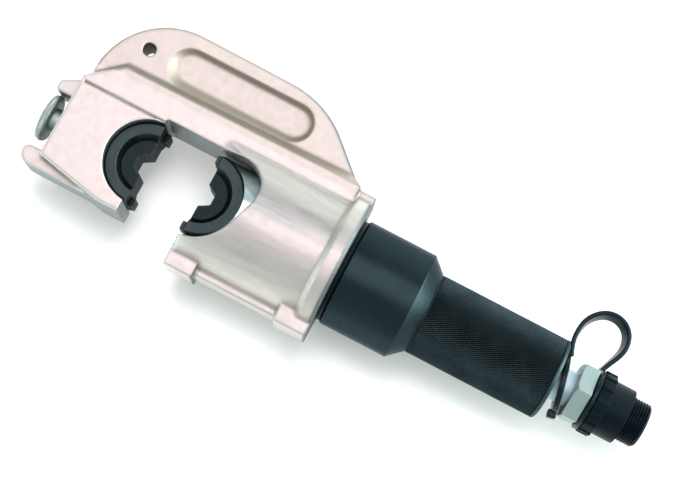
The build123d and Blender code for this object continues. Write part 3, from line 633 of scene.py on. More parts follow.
def thread_tree():
    """A sleeve with a screw thread cut into it and a chamfer at its rear end."""
    tree, inputs = shape_tree(
        "Threaded sleeve", ("Start", "Length", "Radius", "Depth", "Pitch", "Chamfer"), ("Points", "Rings")
    )
    geometry, along, bearing, outward = sleeve(tree, inputs)
    turns = calculate(tree, "DIVIDE", along, inputs["Pitch"])
    phase = calculate(tree, "FRACT", calculate(tree, "MULTIPLY_ADD", bearing, 1 / math.tau, turns))
    flank = calculate(tree, "ABSOLUTE", calculate(tree, "MULTIPLY_ADD", phase, 2.0, -1.0))
    flat_crest = calculate(tree, "MULTIPLY_ADD", flank, flank_slope, crest_shift, clamp=True)
    cut = calculate(tree, "MULTIPLY", flat_crest, inputs["Depth"])
    end = calculate(tree, "ADD", inputs["Start"], inputs["Length"])
    to_end = calculate(tree, "SUBTRACT", end, along)
    slope = calculate(tree, "MAXIMUM", calculate(tree, "SUBTRACT", inputs["Chamfer"], to_end), 0.0)
    deepest = calculate(tree, "MULTIPLY", calculate(tree, "MAXIMUM", cut, slope), -1.0)
    return close_tree(tree, pushed(tree, geometry, outward, deepest), inputs)


def rib_tree():
    """Straight ribs set round the ram axis."""
    tree, inputs = shape_tree("Ribs", ("Start", "Length", "Root", "Radius", "Width"), ("Count",))
    height = calculate(tree, "SUBTRACT", inputs["Radius"], inputs["Root"])
    size = add_node(tree, "ShaderNodeCombineXYZ", {"X": inputs["Length"], "Y": inputs["Width"], "Z": height})
    block = add_node(tree, "GeometryNodeMeshCube", {"Size": size.outputs[0]})
    middle_x = calculate(tree, "MULTIPLY_ADD", inputs["Length"], 0.5, inputs["Start"])
    middle_z = calculate(tree, "MULTIPLY_ADD", height, 0.5, inputs["Root"])
    place = add_node(tree, "ShaderNodeCombineXYZ", {"X": middle_x, "Z": middle_z})
    rib = add_node(
        tree, "GeometryNodeTransform", {"Geometry": block.outputs["Mesh"], "Translation": place.outputs[0]}
    )
    points = add_node(tree, "GeometryNodePoints", {"Count": inputs["Count"]})
    index = add_node(tree, "GeometryNodeInputIndex").outputs[0]
    step = calculate(tree, "DIVIDE", math.tau, inputs["Count"])
    turn = add_node(tree, "ShaderNodeCombineXYZ", {"X": calculate(tree, "MULTIPLY", index, step)})
    ribs = add_node(
        tree,
        "GeometryNodeInstanceOnPoints",
        {"Points": points.outputs[0], "Instance": rib.outputs["Geometry"], "Rotation": turn.outputs[0]},
    )
    return close_tree(tree, ribs.outputs["Instances"], inputs)


def new_finish(name, tone, metallic, roughness):
    """A new material, its tree and its shader, with what is the same all over set on the shader."""
    material = bpy.data.materials.new(name)
    material.use_nodes = True
    tree = material.node_tree
    shader = tree.nodes["Principled BSDF"]
    shader.inputs["Base Color"].default_value = (*tone, 1)
    shader.inputs["Metallic"].default_value = metallic
    shader.inputs["Roughness"].default_value = roughness
    return material, tree, shader


def speckle(tree, size, detail=3.0, stretch=(1, 1, 1)):
    """Noise on the piece's own coordinates, with blotches of about this size in metres."""
    place = add_node(tree, "ShaderNodeTexCoord").outputs["Object"]
    mapped = add_node(tree, "ShaderNodeMapping", {"Vector": place, "Scale": stretch})
    noise = add_node(
        tree, "ShaderNodeTexNoise", {"Vector": mapped.outputs[0], "Scale": 1 / size, "Detail": detail}
    )
    return noise.outputs["Fac"]


def spread(tree, pattern, low, high, pattern_low=0.3, pattern_high=0.7):
    """A number that runs from low to high as a pattern runs over its range."""
    mapped = add_node(
        tree,
        "ShaderNodeMapRange",
        {"Value": pattern, "From Min": pattern_low, "From Max": pattern_high, "To Min": low, "To Max": high},
    )
    return mapped.outputs["Result"]


def tinted(tree, factor, first, second):
    """A colour between two, each a colour or a socket, by a factor from 0 to 1."""
    mix = add_node(tree, "ShaderNodeMix", {"Factor": factor}, data_type="RGBA")
    for socket, tone in zip([s for s in mix.inputs if s.type == "RGBA"], (first, second)):
        if isinstance(tone, bpy.types.NodeSocket):
            tree.links.new(tone, socket)
        else:
            socket.default_value = (*tone, 1)
    return [s for s in mix.outputs if s.type == "RGBA"][0]


def dress(tree, shader, plate, rough, *bumps):
    """Links a colour, a roughness and bump layers of (pattern, depth in metres) to a shader."""
    tree.links.new(plate, shader.inputs["Base Color"])
    tree.links.new(rough, shader.inputs["Roughness"])
    normal = None
    for pattern, depth in bumps:
        bump = add_node(tree, "ShaderNodeBump", {"Height": pattern, "Distance": depth, "Strength": 1.0})
        if normal:
            tree.links.new(normal, bump.inputs["Normal"])
        normal = bump.outputs["Normal"]
    if normal:
        tree.links.new(normal, shader.inputs["Normal"])


def corners_of(tree, low, high):
    """Where a surface turns: 0 up to low and 1 from high of its sharpness, whose flat value is a half."""
    sharpness = add_node(tree, "ShaderNodeNewGeometry").outputs["Pointiness"]
    return spread(tree, sharpness, 0.0, 1.0, low, high)


def radius_of(tree, low, high):
    """How far out a point is from the ram axis: 0 at the radius low and 1 at high."""
    place = add_node(tree, "ShaderNodeTexCoord").outputs["Object"]
    spoke = add_node(tree, "ShaderNodeVectorMath", {0: place, 1: (0, 1, 1)}, operation="MULTIPLY")
    radius = add_node(tree, "ShaderNodeVectorMath", {0: spoke.outputs[0]}, operation="LENGTH")
    return spread(tree, radius.outputs["Value"], 0.0, 1.0, low, high)


def scaled(tone, share):
    """A colour made darker or paler by a share."""
    return [channel * share for channel in tone]


def ramp(value, start, end):
    """How far a value is from start to end, held between 0 and 1."""
    return min(max((value - start) / (end - start), 0.0), 1.0)


def paint_plate_and_light(piece, settings):
    """Paints the plate's tone on the head's points, with painted light: a rosy tint of the key light on
    flats, and painted shade on walls, on the web and its slopes, in the hang hole, in a band and on the
    flanks of the barrel and on faces that face the rear; the barrel's streaks and gloss are the alpha.
    """
    plates = (settings.nickel, settings.nickel_round, settings.nickel_wall_shade_and_blotch, settings.nickel_shade)
    rosy, pale, shade_grey, brown = (Vector(plate) for plate in plates)
    tones = piece.data.attributes.new("plate_and_painted_light", "FLOAT_COLOR", "POINT")
    for vertex, painted in zip(piece.data.vertices, tones.data):
        place = vertex.co
        level = abs(vertex.normal.z)
        # Painted light: faces across the head get the rosy tint of the key light, and rounds get the paler
        # tint of the room's light
        tone = pale.lerp(rosy, ramp(level, *flat_levels))
        streaks = 0.0
        # Painted shade: walls, which face across the head, are painted darker grey
        wall = ramp(level, *wall_levels)
        # Painted shade: the web is painted browner, its slopes more so, and its walls grey
        if place.y > settings.web_low[1]:
            tone = tone.lerp(brown, web_shade + slope_shade * ramp(level, *slope_levels)).lerp(shade_grey, wall)
            # Painted shade: the hang hole's wall is painted nearly black
            if math.dist(place.xy, settings.hang_hole[:2]) < settings.hole_shade_reach:
                tone = tone.lerp(hole_shade_share * shade_grey, wall)
        elif place.x < settings.barrel_start:
            tone = tone.lerp(shade_grey, wall)
        else:
            rise = math.degrees(math.atan2(vertex.normal.y, level))
            onset = ramp(place.x, settings.barrel_start, settings.barrel_start + tone_run)
            onset *= ramp(place.y, settings.blend_high[1], settings.blend_high[1] - tone_run)
            # Painted shade: a grey band on the barrel, placed by its faces' rise, with more streaks in it
            off_shade_band = abs(rise - settings.shade_band_tilt) / settings.shade_band_width
            shade_band = onset * ramp(off_shade_band, shade_band_reach, shade_band_reach - 1)
            tone = tone.lerp(shade_grey, settings.shade_band * shade_band)
            # Painted shade: the flanks turn brown as they rise
            tone = tone.lerp(brown, settings.flank_shade * onset * ramp(abs(rise), *flank_rises))
            streaks = onset_streaks * onset + shade_band_streaks * shade_band
            if place.x > frame_end - settings.collar_length:
                streaks = collar_streaks
        # Painted shade: faces that face the rear, behind the throat, are painted darker grey
        if place.x > settings.barrel_start:
            tone = tone.lerp(rear_shade_share * shade_grey, ramp(vertex.normal.x, *rear_facing))
        painted.color = (*tone, streaks)


def satin_nickel(settings):
    """Nickel plate over a shot-blasted forging: a fine grain, streaked rounds, painted shade in the inner
    corners and the painted light held in the points' tone.
    """
    material, tree, shader = new_finish("satin_nickel", settings.nickel, metallic=1.0, roughness=0.4)
    # The tone painted on the points holds painted light and painted shade
    painted = add_node(tree, "ShaderNodeAttribute", attribute_name="plate_and_painted_light").outputs
    blotches = spread(tree, speckle(tree, size=0.018, detail=4.0), low=0.0, high=0.05)
    lines = speckle(tree, size=0.004, detail=4.0, stretch=axial_lines)
    lines = spread(tree, lines, low=0.0, high=0.7, pattern_low=0.35, pattern_high=0.7)
    # The streak lines are random, but their share, taken from the alpha, is highest in the painted shade
    # band on the barrel
    streaks = calculate(tree, "MULTIPLY", lines, painted["Alpha"])
    clouds = calculate(tree, "MAXIMUM", blotches, streaks)
    plate = tinted(tree, clouds, painted["Color"], settings.nickel_wall_shade_and_blotch)
    # Painted shade: concave corners turn brown
    plate = tinted(tree, corners_of(tree, low=0.499, high=0.47), plate, settings.nickel_shade)
    rough = spread(tree, speckle(tree, size=0.004), low=0.46, high=0.56)
    rough = calculate(tree, "MULTIPLY_ADD", painted["Alpha"], -0.1, rough)
    dents = (speckle(tree, size=0.009), 0.00006)
    grain = (speckle(tree, size=0.0006), 0.00003)
    dress(tree, shader, plate, rough, dents, grain)
    return material


def black_steel(name, tone, roughness):
    """A new material of blackened steel, whose gloss hardly grows towards its outline."""
    material, tree, shader = new_finish(name, tone, metallic=1.0, roughness=roughness)
    shader.inputs["Specular Tint"].default_value = (*bpy.context.scene.crimp_grip.edge_sheen, 1)
    return material, tree, shader


def black_oxide(settings):
    """Black oxide on machined steel, with painted shade darkening the recess, and rubbed paler along the
    edges.
    """
    material, tree, shader = black_steel("black_oxide", settings.oxide, roughness=0.42)
    place = add_node(tree, "ShaderNodeTexCoord").outputs["Object"]
    height = calculate(tree, "ABSOLUTE", add_node(tree, "ShaderNodeSeparateXYZ", {0: place}).outputs["Z"])
    # Painted shade: darker the deeper a point lies under the die's face
    recess_shade = spread(tree, height, 0.8, 0.0, die_face - settings.recess_depth, die_face)
    patches = spread(tree, speckle(tree, size=0.002), low=0.2, high=1.0)
    worn = calculate(tree, "MULTIPLY", corners_of(tree, low=0.505, high=0.56), patches)
    clouds = spread(tree, speckle(tree, size=0.006, detail=4.0), low=0.0, high=0.1)
    skin = tinted(tree, clouds, settings.oxide, settings.oxide_worn)
    skin = tinted(tree, recess_shade, skin, scaled(settings.oxide, 0.3))
    skin = tinted(tree, worn, skin, settings.oxide_worn)
    rough = spread(tree, speckle(tree, size=0.001), low=0.36, high=0.5)
    grain = (speckle(tree, size=0.0004, detail=2.0, stretch=die_lines), 0.00001)
    dress(tree, shader, skin, rough, grain)
    return material


def turned_metal(name, tone, roughness, line, line_depth, cloud=0.12):
    """Bright plated metal with fine turning lines round the ram axis."""
    material, tree, shader = new_finish(name, tone, metallic=1.0, roughness=roughness)
    clouds = spread(tree, speckle(tree, size=0.005, detail=4.0), low=0.0, high=cloud)
    lines = speckle(tree, line, detail=2.0, stretch=turning_lines)
    rough = spread(tree, lines, low=0.8 * roughness, high=1.25 * roughness)
    dress(tree, shader, tinted(tree, clouds, tone, scaled(tone, 0.6)), rough, (lines, line_depth))
    return material


def satin_enamel(settings):
    """Satin black on the turned cylinder: slight clouds and faint turning lines."""
    material, tree, shader = black_steel("satin_enamel", settings.enamel, roughness=0.28)
    clouds = spread(tree, speckle(tree, size=0.012, detail=5.0), low=0.0, high=0.6)
    skin = tinted(tree, clouds, settings.enamel, scaled(settings.enamel, 1.25))
    rough = spread(tree, speckle(tree, size=0.003), low=0.26, high=0.33)
    peel = (speckle(tree, size=0.0012), 0.00002)
    lines = (speckle(tree, size=0.0005, detail=2.0, stretch=turning_lines), 0.000006)
    dress(tree, shader, skin, rough, peel, lines)
    return material


def knurled_black(settings):
    """Black on the knurled grip, rubbed paler on the diamonds' tips."""
    material, tree, shader = black_steel("knurled_black", settings.grip_black, roughness=0.42)
    tips = radius_of(tree, grip_radius - settings.knurl_depth, grip_radius)
    place = add_node(tree, "ShaderNodeTexCoord").outputs["Object"]
    along = add_node(tree, "ShaderNodeSeparateXYZ", {0: place}).outputs["X"]
    rim = calculate(tree, "GREATER_THAN", along, grip_end - settings.rear_band)
    bright = calculate(tree, "MAXIMUM", tips, rim)
    patches = spread(tree, speckle(tree, size=0.01, detail=4.0), low=0.55, high=1.0)
    rubbed = calculate(tree, "MULTIPLY", bright, patches)
    skin = tinted(tree, rubbed, settings.grip_black, settings.grip_worn)
    rough = spread(tree, speckle(tree, size=0.002), low=0.36, high=0.5)
    dress(tree, shader, skin, rough, (speckle(tree, size=0.0003, detail=2.0), 0.00001))
    return material


def green_zinc(settings):
    """Pale passivated zinc: greenish white with faint warm clouds."""
    zinc = settings.green_zinc
    material, tree, shader = new_finish("green_zinc", zinc, metallic=0.85, roughness=0.45)
    warm = (zinc[0] * 1.04, zinc[1] * 0.97, zinc[2] * 0.86)
    clouds = spread(tree, speckle(tree, size=0.004, detail=4.0), low=0.0, high=0.7)
    rough = spread(tree, speckle(tree, size=0.0015), low=0.4, high=0.52)
    grain = (speckle(tree, size=0.0003, detail=2.0, stretch=hex_lines), 0.00001)
    dress(tree, shader, tinted(tree, clouds, zinc, warm), rough, grain)
    return material


def moulded_black(name, tone, roughness, gloss, grain):
    """Moulded black plastic or rubber with a fine spark grain and paler rubbed edges."""
    material, tree, shader = new_finish(name, tone, metallic=0.0, roughness=roughness)
    shader.inputs["Specular IOR Level"].default_value = gloss
    shader.inputs["Specular Tint"].default_value = (*bpy.context.scene.crimp_grip.sheen, 1)
    clouds = spread(tree, speckle(tree, size=0.006, detail=4.0), low=0.0, high=0.35)
    rubbed = calculate(tree, "MAXIMUM", clouds, corners_of(tree, low=0.51, high=0.58))
    skin = tinted(tree, rubbed, tone, scaled(tone, 2.2))
    rough = spread(tree, speckle(tree, size=0.002), low=0.88 * roughness, high=1.12 * roughness)
    dress(tree, shader, skin, rough, (speckle(tree, grain), 0.00002))
    return material


def inner_metal(name, tone, roughness):
    """Plain metal of the pieces inside."""
    material, tree, shader = new_finish(name, tone, metallic=1.0, roughness=roughness)
    skin = tinted(tree, speckle(tree, size=0.003), tone, scaled(tone, 0.7))
    rough = spread(tree, speckle(tree, size=0.001), low=0.8 * roughness, high=1.2 * roughness)
    dress(tree, shader, skin, rough)
    return material


def stands_for(piece, body, slot, *nodes):
    """Hands a finished piece to the frame in place of CAD nodes."""
    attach(piece, body)
    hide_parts(*nodes)


class CRIMP_OT_forged_head(bpy.types.Operator):
    """Skin of the forged, nickel-plated head"""

    bl_idname = "crimp.forged_head"
    bl_label = "Forged head"

    def execute(self, context):
        """Builds the piece."""
        settings = context.scene.crimp_forging
        skin = soft_copy(
            "c_frame",
            "forged_head",
            satin_nickel(settings),
            settings.head_grid,
            settings.head_passes,
            settings.head_triangles,
            [
                (settings.web_low, settings.web_high, settings.web_passes),
                (settings.blend_low, settings.blend_high, settings.blend_passes),
            ],
        )
        paint_plate_and_light(skin, settings)
        stands_for(skin, "head", "nickel_plate", "c_frame")
        return {"FINISHED"}


class CRIMP_OT_dies(bpy.types.Operator):
    """Skins of the two half-round dies"""

    bl_idname = "crimp.dies"
    bl_label = "Dies"

    def execute(self, context):
        """Builds both pieces."""
        settings = context.scene.crimp_forging
        finish = black_oxide(settings)
        for node, body in (("fixed_die", "head"), ("moving_die", "ram")):
            skin = soft_copy(
                node, node + "_skin", finish, settings.die_grid, settings.die_passes, settings.die_triangles
            )
            stands_for(skin, body, "black_oxide", node)
        return {"FINISHED"}


class CRIMP_OT_ram(bpy.types.Operator):
    """The chromed ram"""

    bl_idname = "crimp.ram"
    bl_label = "Ram"

    def execute(self, context):
        """Builds the piece."""
        settings = context.scene.crimp_forging
        chrome = turned_metal(
            "hard_chrome", settings.chrome, roughness=0.16, line=0.0004, line_depth=0.000002
        )
        rod = shade(merged_copy("ram", "ram_rod", chrome))
        stands_for(rod, "ram", "chrome", "ram")
        return {"FINISHED"}


class CRIMP_OT_cylinder(bpy.types.Operator):
    """The black cylinder and the ring in its joint"""

    bl_idname = "crimp.cylinder"
    bl_label = "Cylinder"

    def execute(self, context):
        """Builds both pieces."""
        settings = context.scene.crimp_grip
        edge = settings.edge_chamfer
        cone_start = grip_start - settings.cone_length
        cone_end = grip_radius - settings.front_chamfer
        wiper_end = cylinder_start + wiper_width
        body = turned(
            "cylinder_body",
            [
                *stepped((joint_start, groove_radius), (joint_end, 0)),
                (joint_end, cylinder_radius - edge),
                (joint_end + edge, cylinder_radius),
                (cone_start - edge, cylinder_radius),
                (cone_start, cylinder_radius - edge),
                (grip_start, cone_end),
                *stepped(
                    (grip_start, spigot_radius),
                    (cylinder_end, oil_radius),
                    (bore_end, bore_radius),
                    (wiper_end, wiper_radius),
                    (cylinder_start, thread_radius),
                    (joint_start, 0),
                ),
            ],
            settings.edge_round,
            satin_enamel(settings),
        )
        stands_for(body, "head", "black_enamel", "cylinder")
        rubber = moulded_black("joint_rubber", settings.rubber, roughness=0.5, gloss=0.2, grain=0.0005)
        ring = hoop(
            "joint_ring", joint_start, joint_end, groove_radius, joint_radius, settings.edge_round, rubber
        )
        stands_for(ring, "head", "seal_rubber", "joint_seal_ring")
        return {"FINISHED"}


class CRIMP_OT_grip(bpy.types.Operator):
    """The knurled grip"""

    bl_idname = "crimp.grip"
    bl_label = "Knurled grip"

    def execute(self, context):
        """Builds the piece."""
        settings = context.scene.crimp_grip
        finish = knurled_black(settings)
        root = grip_radius - settings.knurl_depth
        knurl_start = grip_start + settings.front_band
        knurl_end = grip_end - settings.rear_band
        bend = [
            (
                grip_end - settings.end_round * (1 - math.sin(turn)),
                grip_radius - settings.end_round * (1 - math.cos(turn)),
            )
            for turn in (math.pi / 2 * step / bend_steps for step in range(bend_steps + 1))
        ]
        core = turned(
            "grip_core",
            [
                (grip_start, grip_radius - settings.front_chamfer),
                *stepped(
                    (grip_start + settings.front_chamfer, grip_radius),
                    (knurl_start, root - settings.knurl_depth),
                    (knurl_end, 0),
                ),
                (knurl_end, grip_radius),
                *bend,
                *stepped(
                    (grip_end, neck_socket_radius),
                    (neck_socket_start, oil_radius),
                    (grip_socket_end, grip_socket_radius),
                    (grip_start, 0),
                ),
            ],
            settings.fine_round,
            finish,
        )
        knurl = grown(
            "grip_knurl",
            knurl_tree(),
            finish,
            start=knurl_start,
            length=knurl_end - knurl_start,
            radius=root,
            depth=settings.knurl_depth,
            points=2 * round(math.tau * grip_radius / settings.knurl_pitch),
            rings=2 * round((knurl_end - knurl_start) / settings.knurl_step),
            alternate=1,
        )
        stands_for(joined("knurled_grip", finish, core, knurl), "head", "black_enamel", "handle")
        return {"FINISHED"}


class CRIMP_OT_coupler(bpy.types.Operator):
    """The bright neck and the hexagon of the hose coupler"""

    bl_idname = "crimp.coupler"
    bl_label = "Neck and coupler"

    def execute(self, context):
        """Builds both pieces."""
        settings = context.scene.crimp_coupler
        hex_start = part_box("coupler_body")[0].x
        zinc = turned_metal("bright_zinc", settings.zinc, roughness=0.55, line=0.0005, line_depth=0.000004)
        outline = stepped(
            (neck_start, neck_radius), (hex_start, stub_radius), (neck_end, oil_radius), (neck_start, 0)
        )
        neck = turned("neck", outline, settings.edge_round, zinc)
        stands_for(neck, "head", "bright_zinc", "neck_nipple")
        hexagon = soft_copy(
            "coupler_body",
            "hex_coupler",
            green_zinc(settings),
            settings.hex_grid,
            settings.hex_passes,
            settings.hex_triangles,
        )
        stands_for(hexagon, "head", "green_zinc", "coupler_body")
        return {"FINISHED"}


class CRIMP_OT_dust_cap(bpy.types.Operator):
    """The ribbed dust cap with its spare thread"""

    bl_idname = "crimp.dust_cap"
    bl_label = "Dust cap"

    def execute(self, context):
        """Builds the piece."""
        settings = context.scene.crimp_coupler
        finish = moulded_black("cap_plastic", settings.cap_black, roughness=0.45, gloss=0.12, grain=0.0006)
        collar_start = cap_start + settings.hub_length
        body_start = collar_start + settings.collar_length
        plug_start = body_start + settings.body_length
        plug_root = settings.plug_radius - settings.thread_depth
        shell = turned(
            "cap_body",
            [
                *stepped(
                    (cap_start, settings.hub_radius),
                    (collar_start, settings.collar_radius),
                    (body_start, settings.body_radius),
                    (plug_start, 0),
                ),
                (plug_start, plug_root - settings.plug_round),
                (plug_start + settings.edge_round, 0),
                (cap_socket_end, 0),
                *stepped((cap_socket_end, cap_socket_radius), (cap_start, 0)),
            ],
            settings.edge_round,
            finish,
        )
        ribs = grown(
            "cap_ribs",
            rib_tree(),
            finish,
            start=collar_start,
            length=settings.collar_length,
            root=settings.body_radius - settings.rib_rise,
            radius=settings.collar_radius + settings.rib_rise,
            width=settings.rib_width,
            count=settings.rib_count,
        )
        thread = grown(
            "cap_thread",
            thread_tree(),
            finish,
            start=plug_start,
            length=cap_end - plug_start,
            radius=settings.plug_radius,
            depth=settings.thread_depth,
            pitch=settings.thread_pitch,
            chamfer=settings.plug_round,
            points=turned_steps,
            rings=settings.thread_rings,
        )
        cap = joined("cap_shell", finish, shell, bevelled(ribs, settings.rib_round), shade(thread))
        stands_for(cap, "dust_cap", "cap_plastic", "dust_cap")
        return {"FINISHED"}


class CRIMP_OT_tether(bpy.types.Operator):
    """The tether's two rings and the strap between them"""

    bl_idname = "crimp.tether"
    bl_label = "Tether"

    def root(self, settings, before, end, finish):
        """The short root by which the strap's end stands on a ring."""
        onward = (end - before).normalized()
        middle = end + onward * (settings.root_length - settings.root_lap) / 2
        turn = Matrix.Rotation(math.atan2(onward.y, onward.x), 4, "Z")
        size = (settings.root_length + settings.root_lap, settings.thickness, settings.width)
        return bar("strap_root", size, Matrix.Translation(middle) @ turn, settings.edge_round, finish)

    def execute(self, context):
        """Builds the three pieces."""
        settings = context.scene.crimp_tether
        finish = moulded_black("tether_rubber", settings.rubber, roughness=0.25, gloss=0.3, grain=0.0006)
        half = settings.ring_thickness / 2
        ring = hoop(
            "ring_body", -half, half, settings.ring_hole, settings.ring_radius, settings.edge_round, finish
        )
        block = bar(
            "ring_closure",
            (settings.closure_length, settings.closure_depth, settings.width),
            Matrix.Translation((-settings.closure_shift, -settings.ring_radius, 0)),
            settings.closure_round,
            finish,
        )
        closed_ring = joined("closed_ring", finish, ring, block)
        lean = Matrix.Rotation(settings.ring_tilt, 4, "Z") @ Matrix.Rotation(settings.ring_turn, 4, "Y")
        closed_ring.data.transform(Matrix.Translation((settings.ring_place, 0, 0)) @ lean)
        route = [Vector((grip_end + behind, height, 0)) for behind, height in tether_route]
        neck_root = self.root(settings, route[1], route[0], finish)
        neck_ring = joined("neck_tether_ring", finish, closed_ring, neck_root)
        stands_for(neck_ring, "head", "tether_rubber", "tether_neck_ring")
        hole = context.scene.crimp_coupler.hub_radius + settings.hub_clearance
        cap_ring_start = cap_ring_end - settings.cap_ring_thickness
        plain_ring = hoop(
            "plain_ring", cap_ring_start, cap_ring_end, hole, cap_ring_radius, settings.edge_round, finish
        )
        cap_root = self.root(settings, route[-2], route[-1], finish)
        cap_ring = joined("cap_tether_ring", finish, plain_ring, cap_root)
        stands_for(cap_ring, "cap_ring", "tether_rubber", "tether_cap_ring")
        curve = bpy.data.curves.new("tether_band", "CURVE")
        curve.dimensions = "3D"
        curve.twist_mode = "Z_UP"
        curve.fill_mode = "FULL"
        curve.use_fill_caps = True
        curve.bevel_depth = settings.thickness / 2
        curve.bevel_resolution = settings.band_steps
        curve.extrude = (settings.width - settings.thickness) / 2
        curve.resolution_u = settings.band_steps
        line = curve.splines.new("NURBS")
        line.points.add(len(route) - 1)
        for index, point in enumerate(line.points):
            point.co = (*route[index], 1)
            point.tilt = settings.band_tilt * math.sin(math.pi * index / (len(route) - 1))
        line.order_u = 3
        line.use_endpoint_u = True
        drawn = new_piece("tether_line", curve)
        context.view_layer.update()
        mesh = bpy.data.meshes.new_from_object(drawn.evaluated_get(context.evaluated_depsgraph_get()))
        bpy.data.objects.remove(drawn)
        band = shade(new_piece("tether_band", mesh, finish))
        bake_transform(band)
        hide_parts("tether_strap")
        return {"FINISHED"}


class CRIMP_OT_pull_knob(bpy.types.Operator):
    """The pull knob and its pin"""

    bl_idname = "crimp.pull_knob"
    bl_label = "Pull knob"

    def execute(self, context):
        """Builds both pieces."""
        settings = context.scene.crimp_knob
        finish = turned_metal("knob_zinc", settings.zinc, roughness=0.48, line=0.0005, line_depth=0.000006)
        edge = settings.edge
        root = knob_radius - settings.ridge_depth
        back = knob_start + settings.thickness
        disc = turned(
            "knob_disc",
            [
                *stepped(
                    (pin_start, pin_spigot_radius),
                    (back, hub_hole),
                    (knob_end, settings.hub_radius),
                    (back, 0),
                ),
                (back, root - edge),
                (back - edge, root),
                (knob_start + edge, root),
                (knob_start, root - edge),
                (knob_start, settings.dish_radius),
                (knob_start + edge, settings.dish_floor),
                (knob_start + edge, 0),
                (pin_start, 0),
            ],
            settings.edge_round,
            finish,
        )
        ridges = grown(
            "knob_ridges",
            knurl_tree(),
            finish,
            start=knob_start + edge + settings.ridge_inset,
            length=settings.thickness - 2 * (edge + settings.ridge_inset),
            radius=root,
            depth=settings.ridge_depth,
            points=2 * settings.ridge_count,
            rings=settings.ridge_rings,
            alternate=0,
        )
        stands_for(joined("pull_knob", finish, disc, ridges), "release", "bright_zinc", "release_knob")
        pin = turned(
            "pull_pin",
            [
                (pin_end, 0),
                (pin_end, pin_radius - edge),
                *stepped(
                    (pin_end - edge, pin_radius),
                    (pin_collar_start, pin_collar_radius),
                    (pin_collar_start - pin_collar_length, stem_radius),
                    (back, pin_spigot_radius),
                    (pin_start, 0),
                ),
                (pin_start, 0),
            ],
            settings.edge_round,
            finish,
        )
        stands_for(pin, "release", "bright_zinc", "release_pin")
        return {"FINISHED"}


class CRIMP_OT_springs(bpy.types.Operator):
    """The springs, shown as smooth copies of their CAD nodes"""

    bl_idname = "crimp.springs"
    bl_label = "Springs"

    def execute(self, context):
        """Builds the three pieces."""
        steel = inner_metal("coil_steel", context.scene.crimp_grip.spring_steel, roughness=0.3)
        for node, front, rear in working_springs:
            coil = shade(merged_copy(node, node + "_coil", steel))
            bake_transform(coil)
            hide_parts(node)
        return {"FINISHED"}


class CRIMP_OT_inner_pieces(bpy.types.Operator):
    """Finishes of the pieces inside"""

    bl_idname = "crimp.inner_pieces"
    bl_label = "Inner pieces"

    def execute(self, context):
        """Paints the CAD nodes that are shown as they are."""
        settings = context.scene.crimp_grip
        chrome = context.scene.crimp_forging.chrome
        plastic = settings.guide_plastic
        finishes = {
            "spring_steel": inner_metal("spring_steel", settings.spring_steel, roughness=0.3),
            "bronze": inner_metal("bronze", settings.bronze, roughness=0.35),
            "chrome": inner_metal("inner_chrome", chrome, roughness=0.15),
            "seal_rubber": moulded_black("seal_rubber", settings.rubber, 0.55, gloss=0.2, grain=0.0005),
            "guide_plastic": moulded_black("guide_plastic", plastic, 0.45, gloss=0.3, grain=0.0005),
        }
        for slot, names in inner_nodes.items():
            for name in names:
                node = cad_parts[name]
                node.material_slots[0].link = "OBJECT"
                node.material_slots[0].material = finishes[slot]
        return {"FINISHED"}


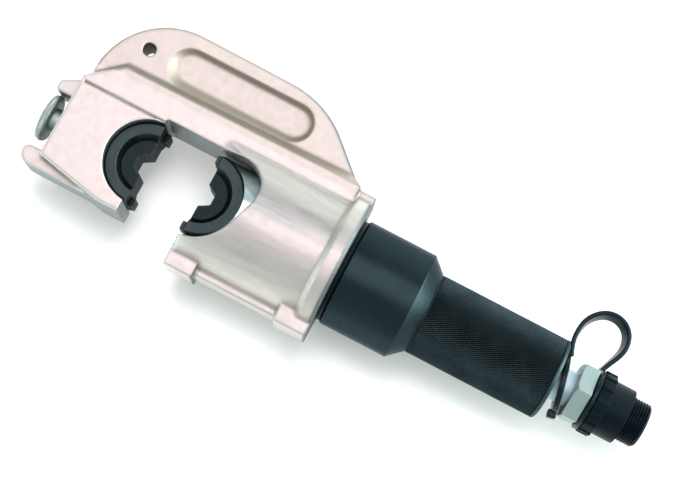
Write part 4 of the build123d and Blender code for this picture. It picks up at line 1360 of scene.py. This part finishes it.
class CRIMP_OT_stage(bpy.types.Operator):
    """Floor, lights and camera"""

    bl_idname = "crimp.stage"
    bl_label = "Studio"

    def lamp(self, name, width, depth, power, tone, place, aim):
        """A soft light of this size that faces a point."""
        light = bpy.data.lights.new(name, "AREA")
        light.shape = "RECTANGLE"
        light.size = width
        light.size_y = depth
        light.energy = power
        light.color = tone
        lamp = bpy.data.objects.new(name, light)
        bpy.context.scene.collection.objects.link(lamp)
        lamp.location = place
        lamp.rotation_euler = (aim - lamp.location).to_track_quat("-Z", "Y").to_euler()
        return lamp

    def execute(self, context):
        """Builds the studio."""
        settings = context.scene.crimp_stage
        shape = bmesh.new()
        bmesh.ops.create_grid(shape, x_segments=1, y_segments=1, size=settings.floor_size / 2)
        bmesh.ops.translate(shape, verts=shape.verts, vec=(0, 0, floor_height))
        paper = new_finish("floor_paper", settings.floor, metallic=0.0, roughness=0.9)[0]
        floor = from_shape(shape, "floor", paper)
        world = bpy.data.worlds.new("studio")
        world.use_nodes = True
        room = world.node_tree
        direction = add_node(room, "ShaderNodeTexCoord").outputs["Generated"]
        rear = Vector((math.cos(settings.rear_turn), math.sin(settings.rear_turn), 0))
        far = Vector((0, 1, 0))
        glows = (
            (far, settings.room_far),
            (-far, settings.room_near),
            (rear, settings.room_rear),
            (-rear, settings.room_front),
        )
        level = settings.room_level
        for toward, glow in glows:
            facing = add_node(
                room, "ShaderNodeVectorMath", {0: direction, 1: toward}, operation="DOT_PRODUCT"
            )
            facing = calculate(room, "MAXIMUM", facing.outputs["Value"], 0.0)
            share = calculate(room, "POWER", facing, settings.glow_narrowing)
            level = calculate(room, "MULTIPLY_ADD", share, glow, level)
        room.links.new(level, room.nodes["Background"].inputs["Strength"])
        room.nodes["Background"].inputs["Color"].default_value = (*settings.room, 1)
        context.scene.world = world
        aim = Vector(settings.aim)
        key_sides = (settings.key_size, settings.key_depth)
        self.lamp("key", *key_sides, settings.key_power, settings.key, settings.key_place, aim)
        drop_sides = (settings.drop_size, settings.drop_size)
        drop = self.lamp("drop", *drop_sides, settings.drop_power, settings.drop, settings.drop_place, aim)
        drop.visible_glossy = False
        eye = Vector(settings.eye)
        back = (eye - aim).normalized()
        upward = Vector((-math.sin(settings.roll), math.cos(settings.roll), 0))
        right = upward.cross(back).normalized()
        lens = bpy.data.cameras.new("camera")
        lens.lens = settings.lens
        lens.dof.use_dof = False
        camera = bpy.data.objects.new("camera", lens)
        context.scene.collection.objects.link(camera)
        turn = Matrix((right, back.cross(right), back)).transposed()
        camera.matrix_world = Matrix.Translation(eye) @ turn.to_4x4()
        context.scene.camera = camera
        context.scene.view_settings.view_transform = "Standard"
        return {"FINISHED"}


operators = (
    CRIMP_OT_forged_head,
    CRIMP_OT_dies,
    CRIMP_OT_ram,
    CRIMP_OT_cylinder,
    CRIMP_OT_grip,
    CRIMP_OT_coupler,
    CRIMP_OT_dust_cap,
    CRIMP_OT_tether,
    CRIMP_OT_pull_knob,
    CRIMP_OT_springs,
    CRIMP_OT_inner_pieces,
    CRIMP_OT_stage,
)


class CRIMP_PT_pieces(bpy.types.Panel):
    """The pieces of the crimping head"""

    bl_label = "Crimping head"
    bl_idname = "CRIMP_PT_pieces"
    bl_space_type = "VIEW_3D"
    bl_region_type = "UI"
    bl_category = "Crimping head"

    def draw(self, context):
        """Lists a button for each operator."""
        for operator in operators:
            self.layout.operator(operator.bl_idname)


groups = {
    "crimp_forging": ForgingSettings,
    "crimp_grip": GripSettings,
    "crimp_coupler": CouplerSettings,
    "crimp_tether": TetherSettings,
    "crimp_knob": KnobSettings,
    "crimp_stage": StageSettings,
}


def register():
    """Adds the settings, operators and panel to Blender."""
    for name, group in groups.items():
        bpy.utils.register_class(group)
        setattr(bpy.types.Scene, name, PointerProperty(type=group))
    for cls in (*operators, CRIMP_PT_pieces):
        bpy.utils.register_class(cls)


def unregister():
    """Takes them out again."""
    for cls in (CRIMP_PT_pieces, *reversed(operators)):
        bpy.utils.unregister_class(cls)
    for name, group in groups.items():
        delattr(bpy.types.Scene, name)
        bpy.utils.unregister_class(group)


def main():
    """Builds every piece and the studio."""
    register()
    bpy.ops.crimp.forged_head()
    bpy.ops.crimp.dies()
    bpy.ops.crimp.ram()
    bpy.ops.crimp.cylinder()
    bpy.ops.crimp.grip()
    bpy.ops.crimp.coupler()
    bpy.ops.crimp.dust_cap()
    bpy.ops.crimp.tether()
    bpy.ops.crimp.pull_knob()
    bpy.ops.crimp.springs()
    bpy.ops.crimp.inner_pieces()
    bpy.ops.crimp.stage()


if __name__ == "__main__":
    main()
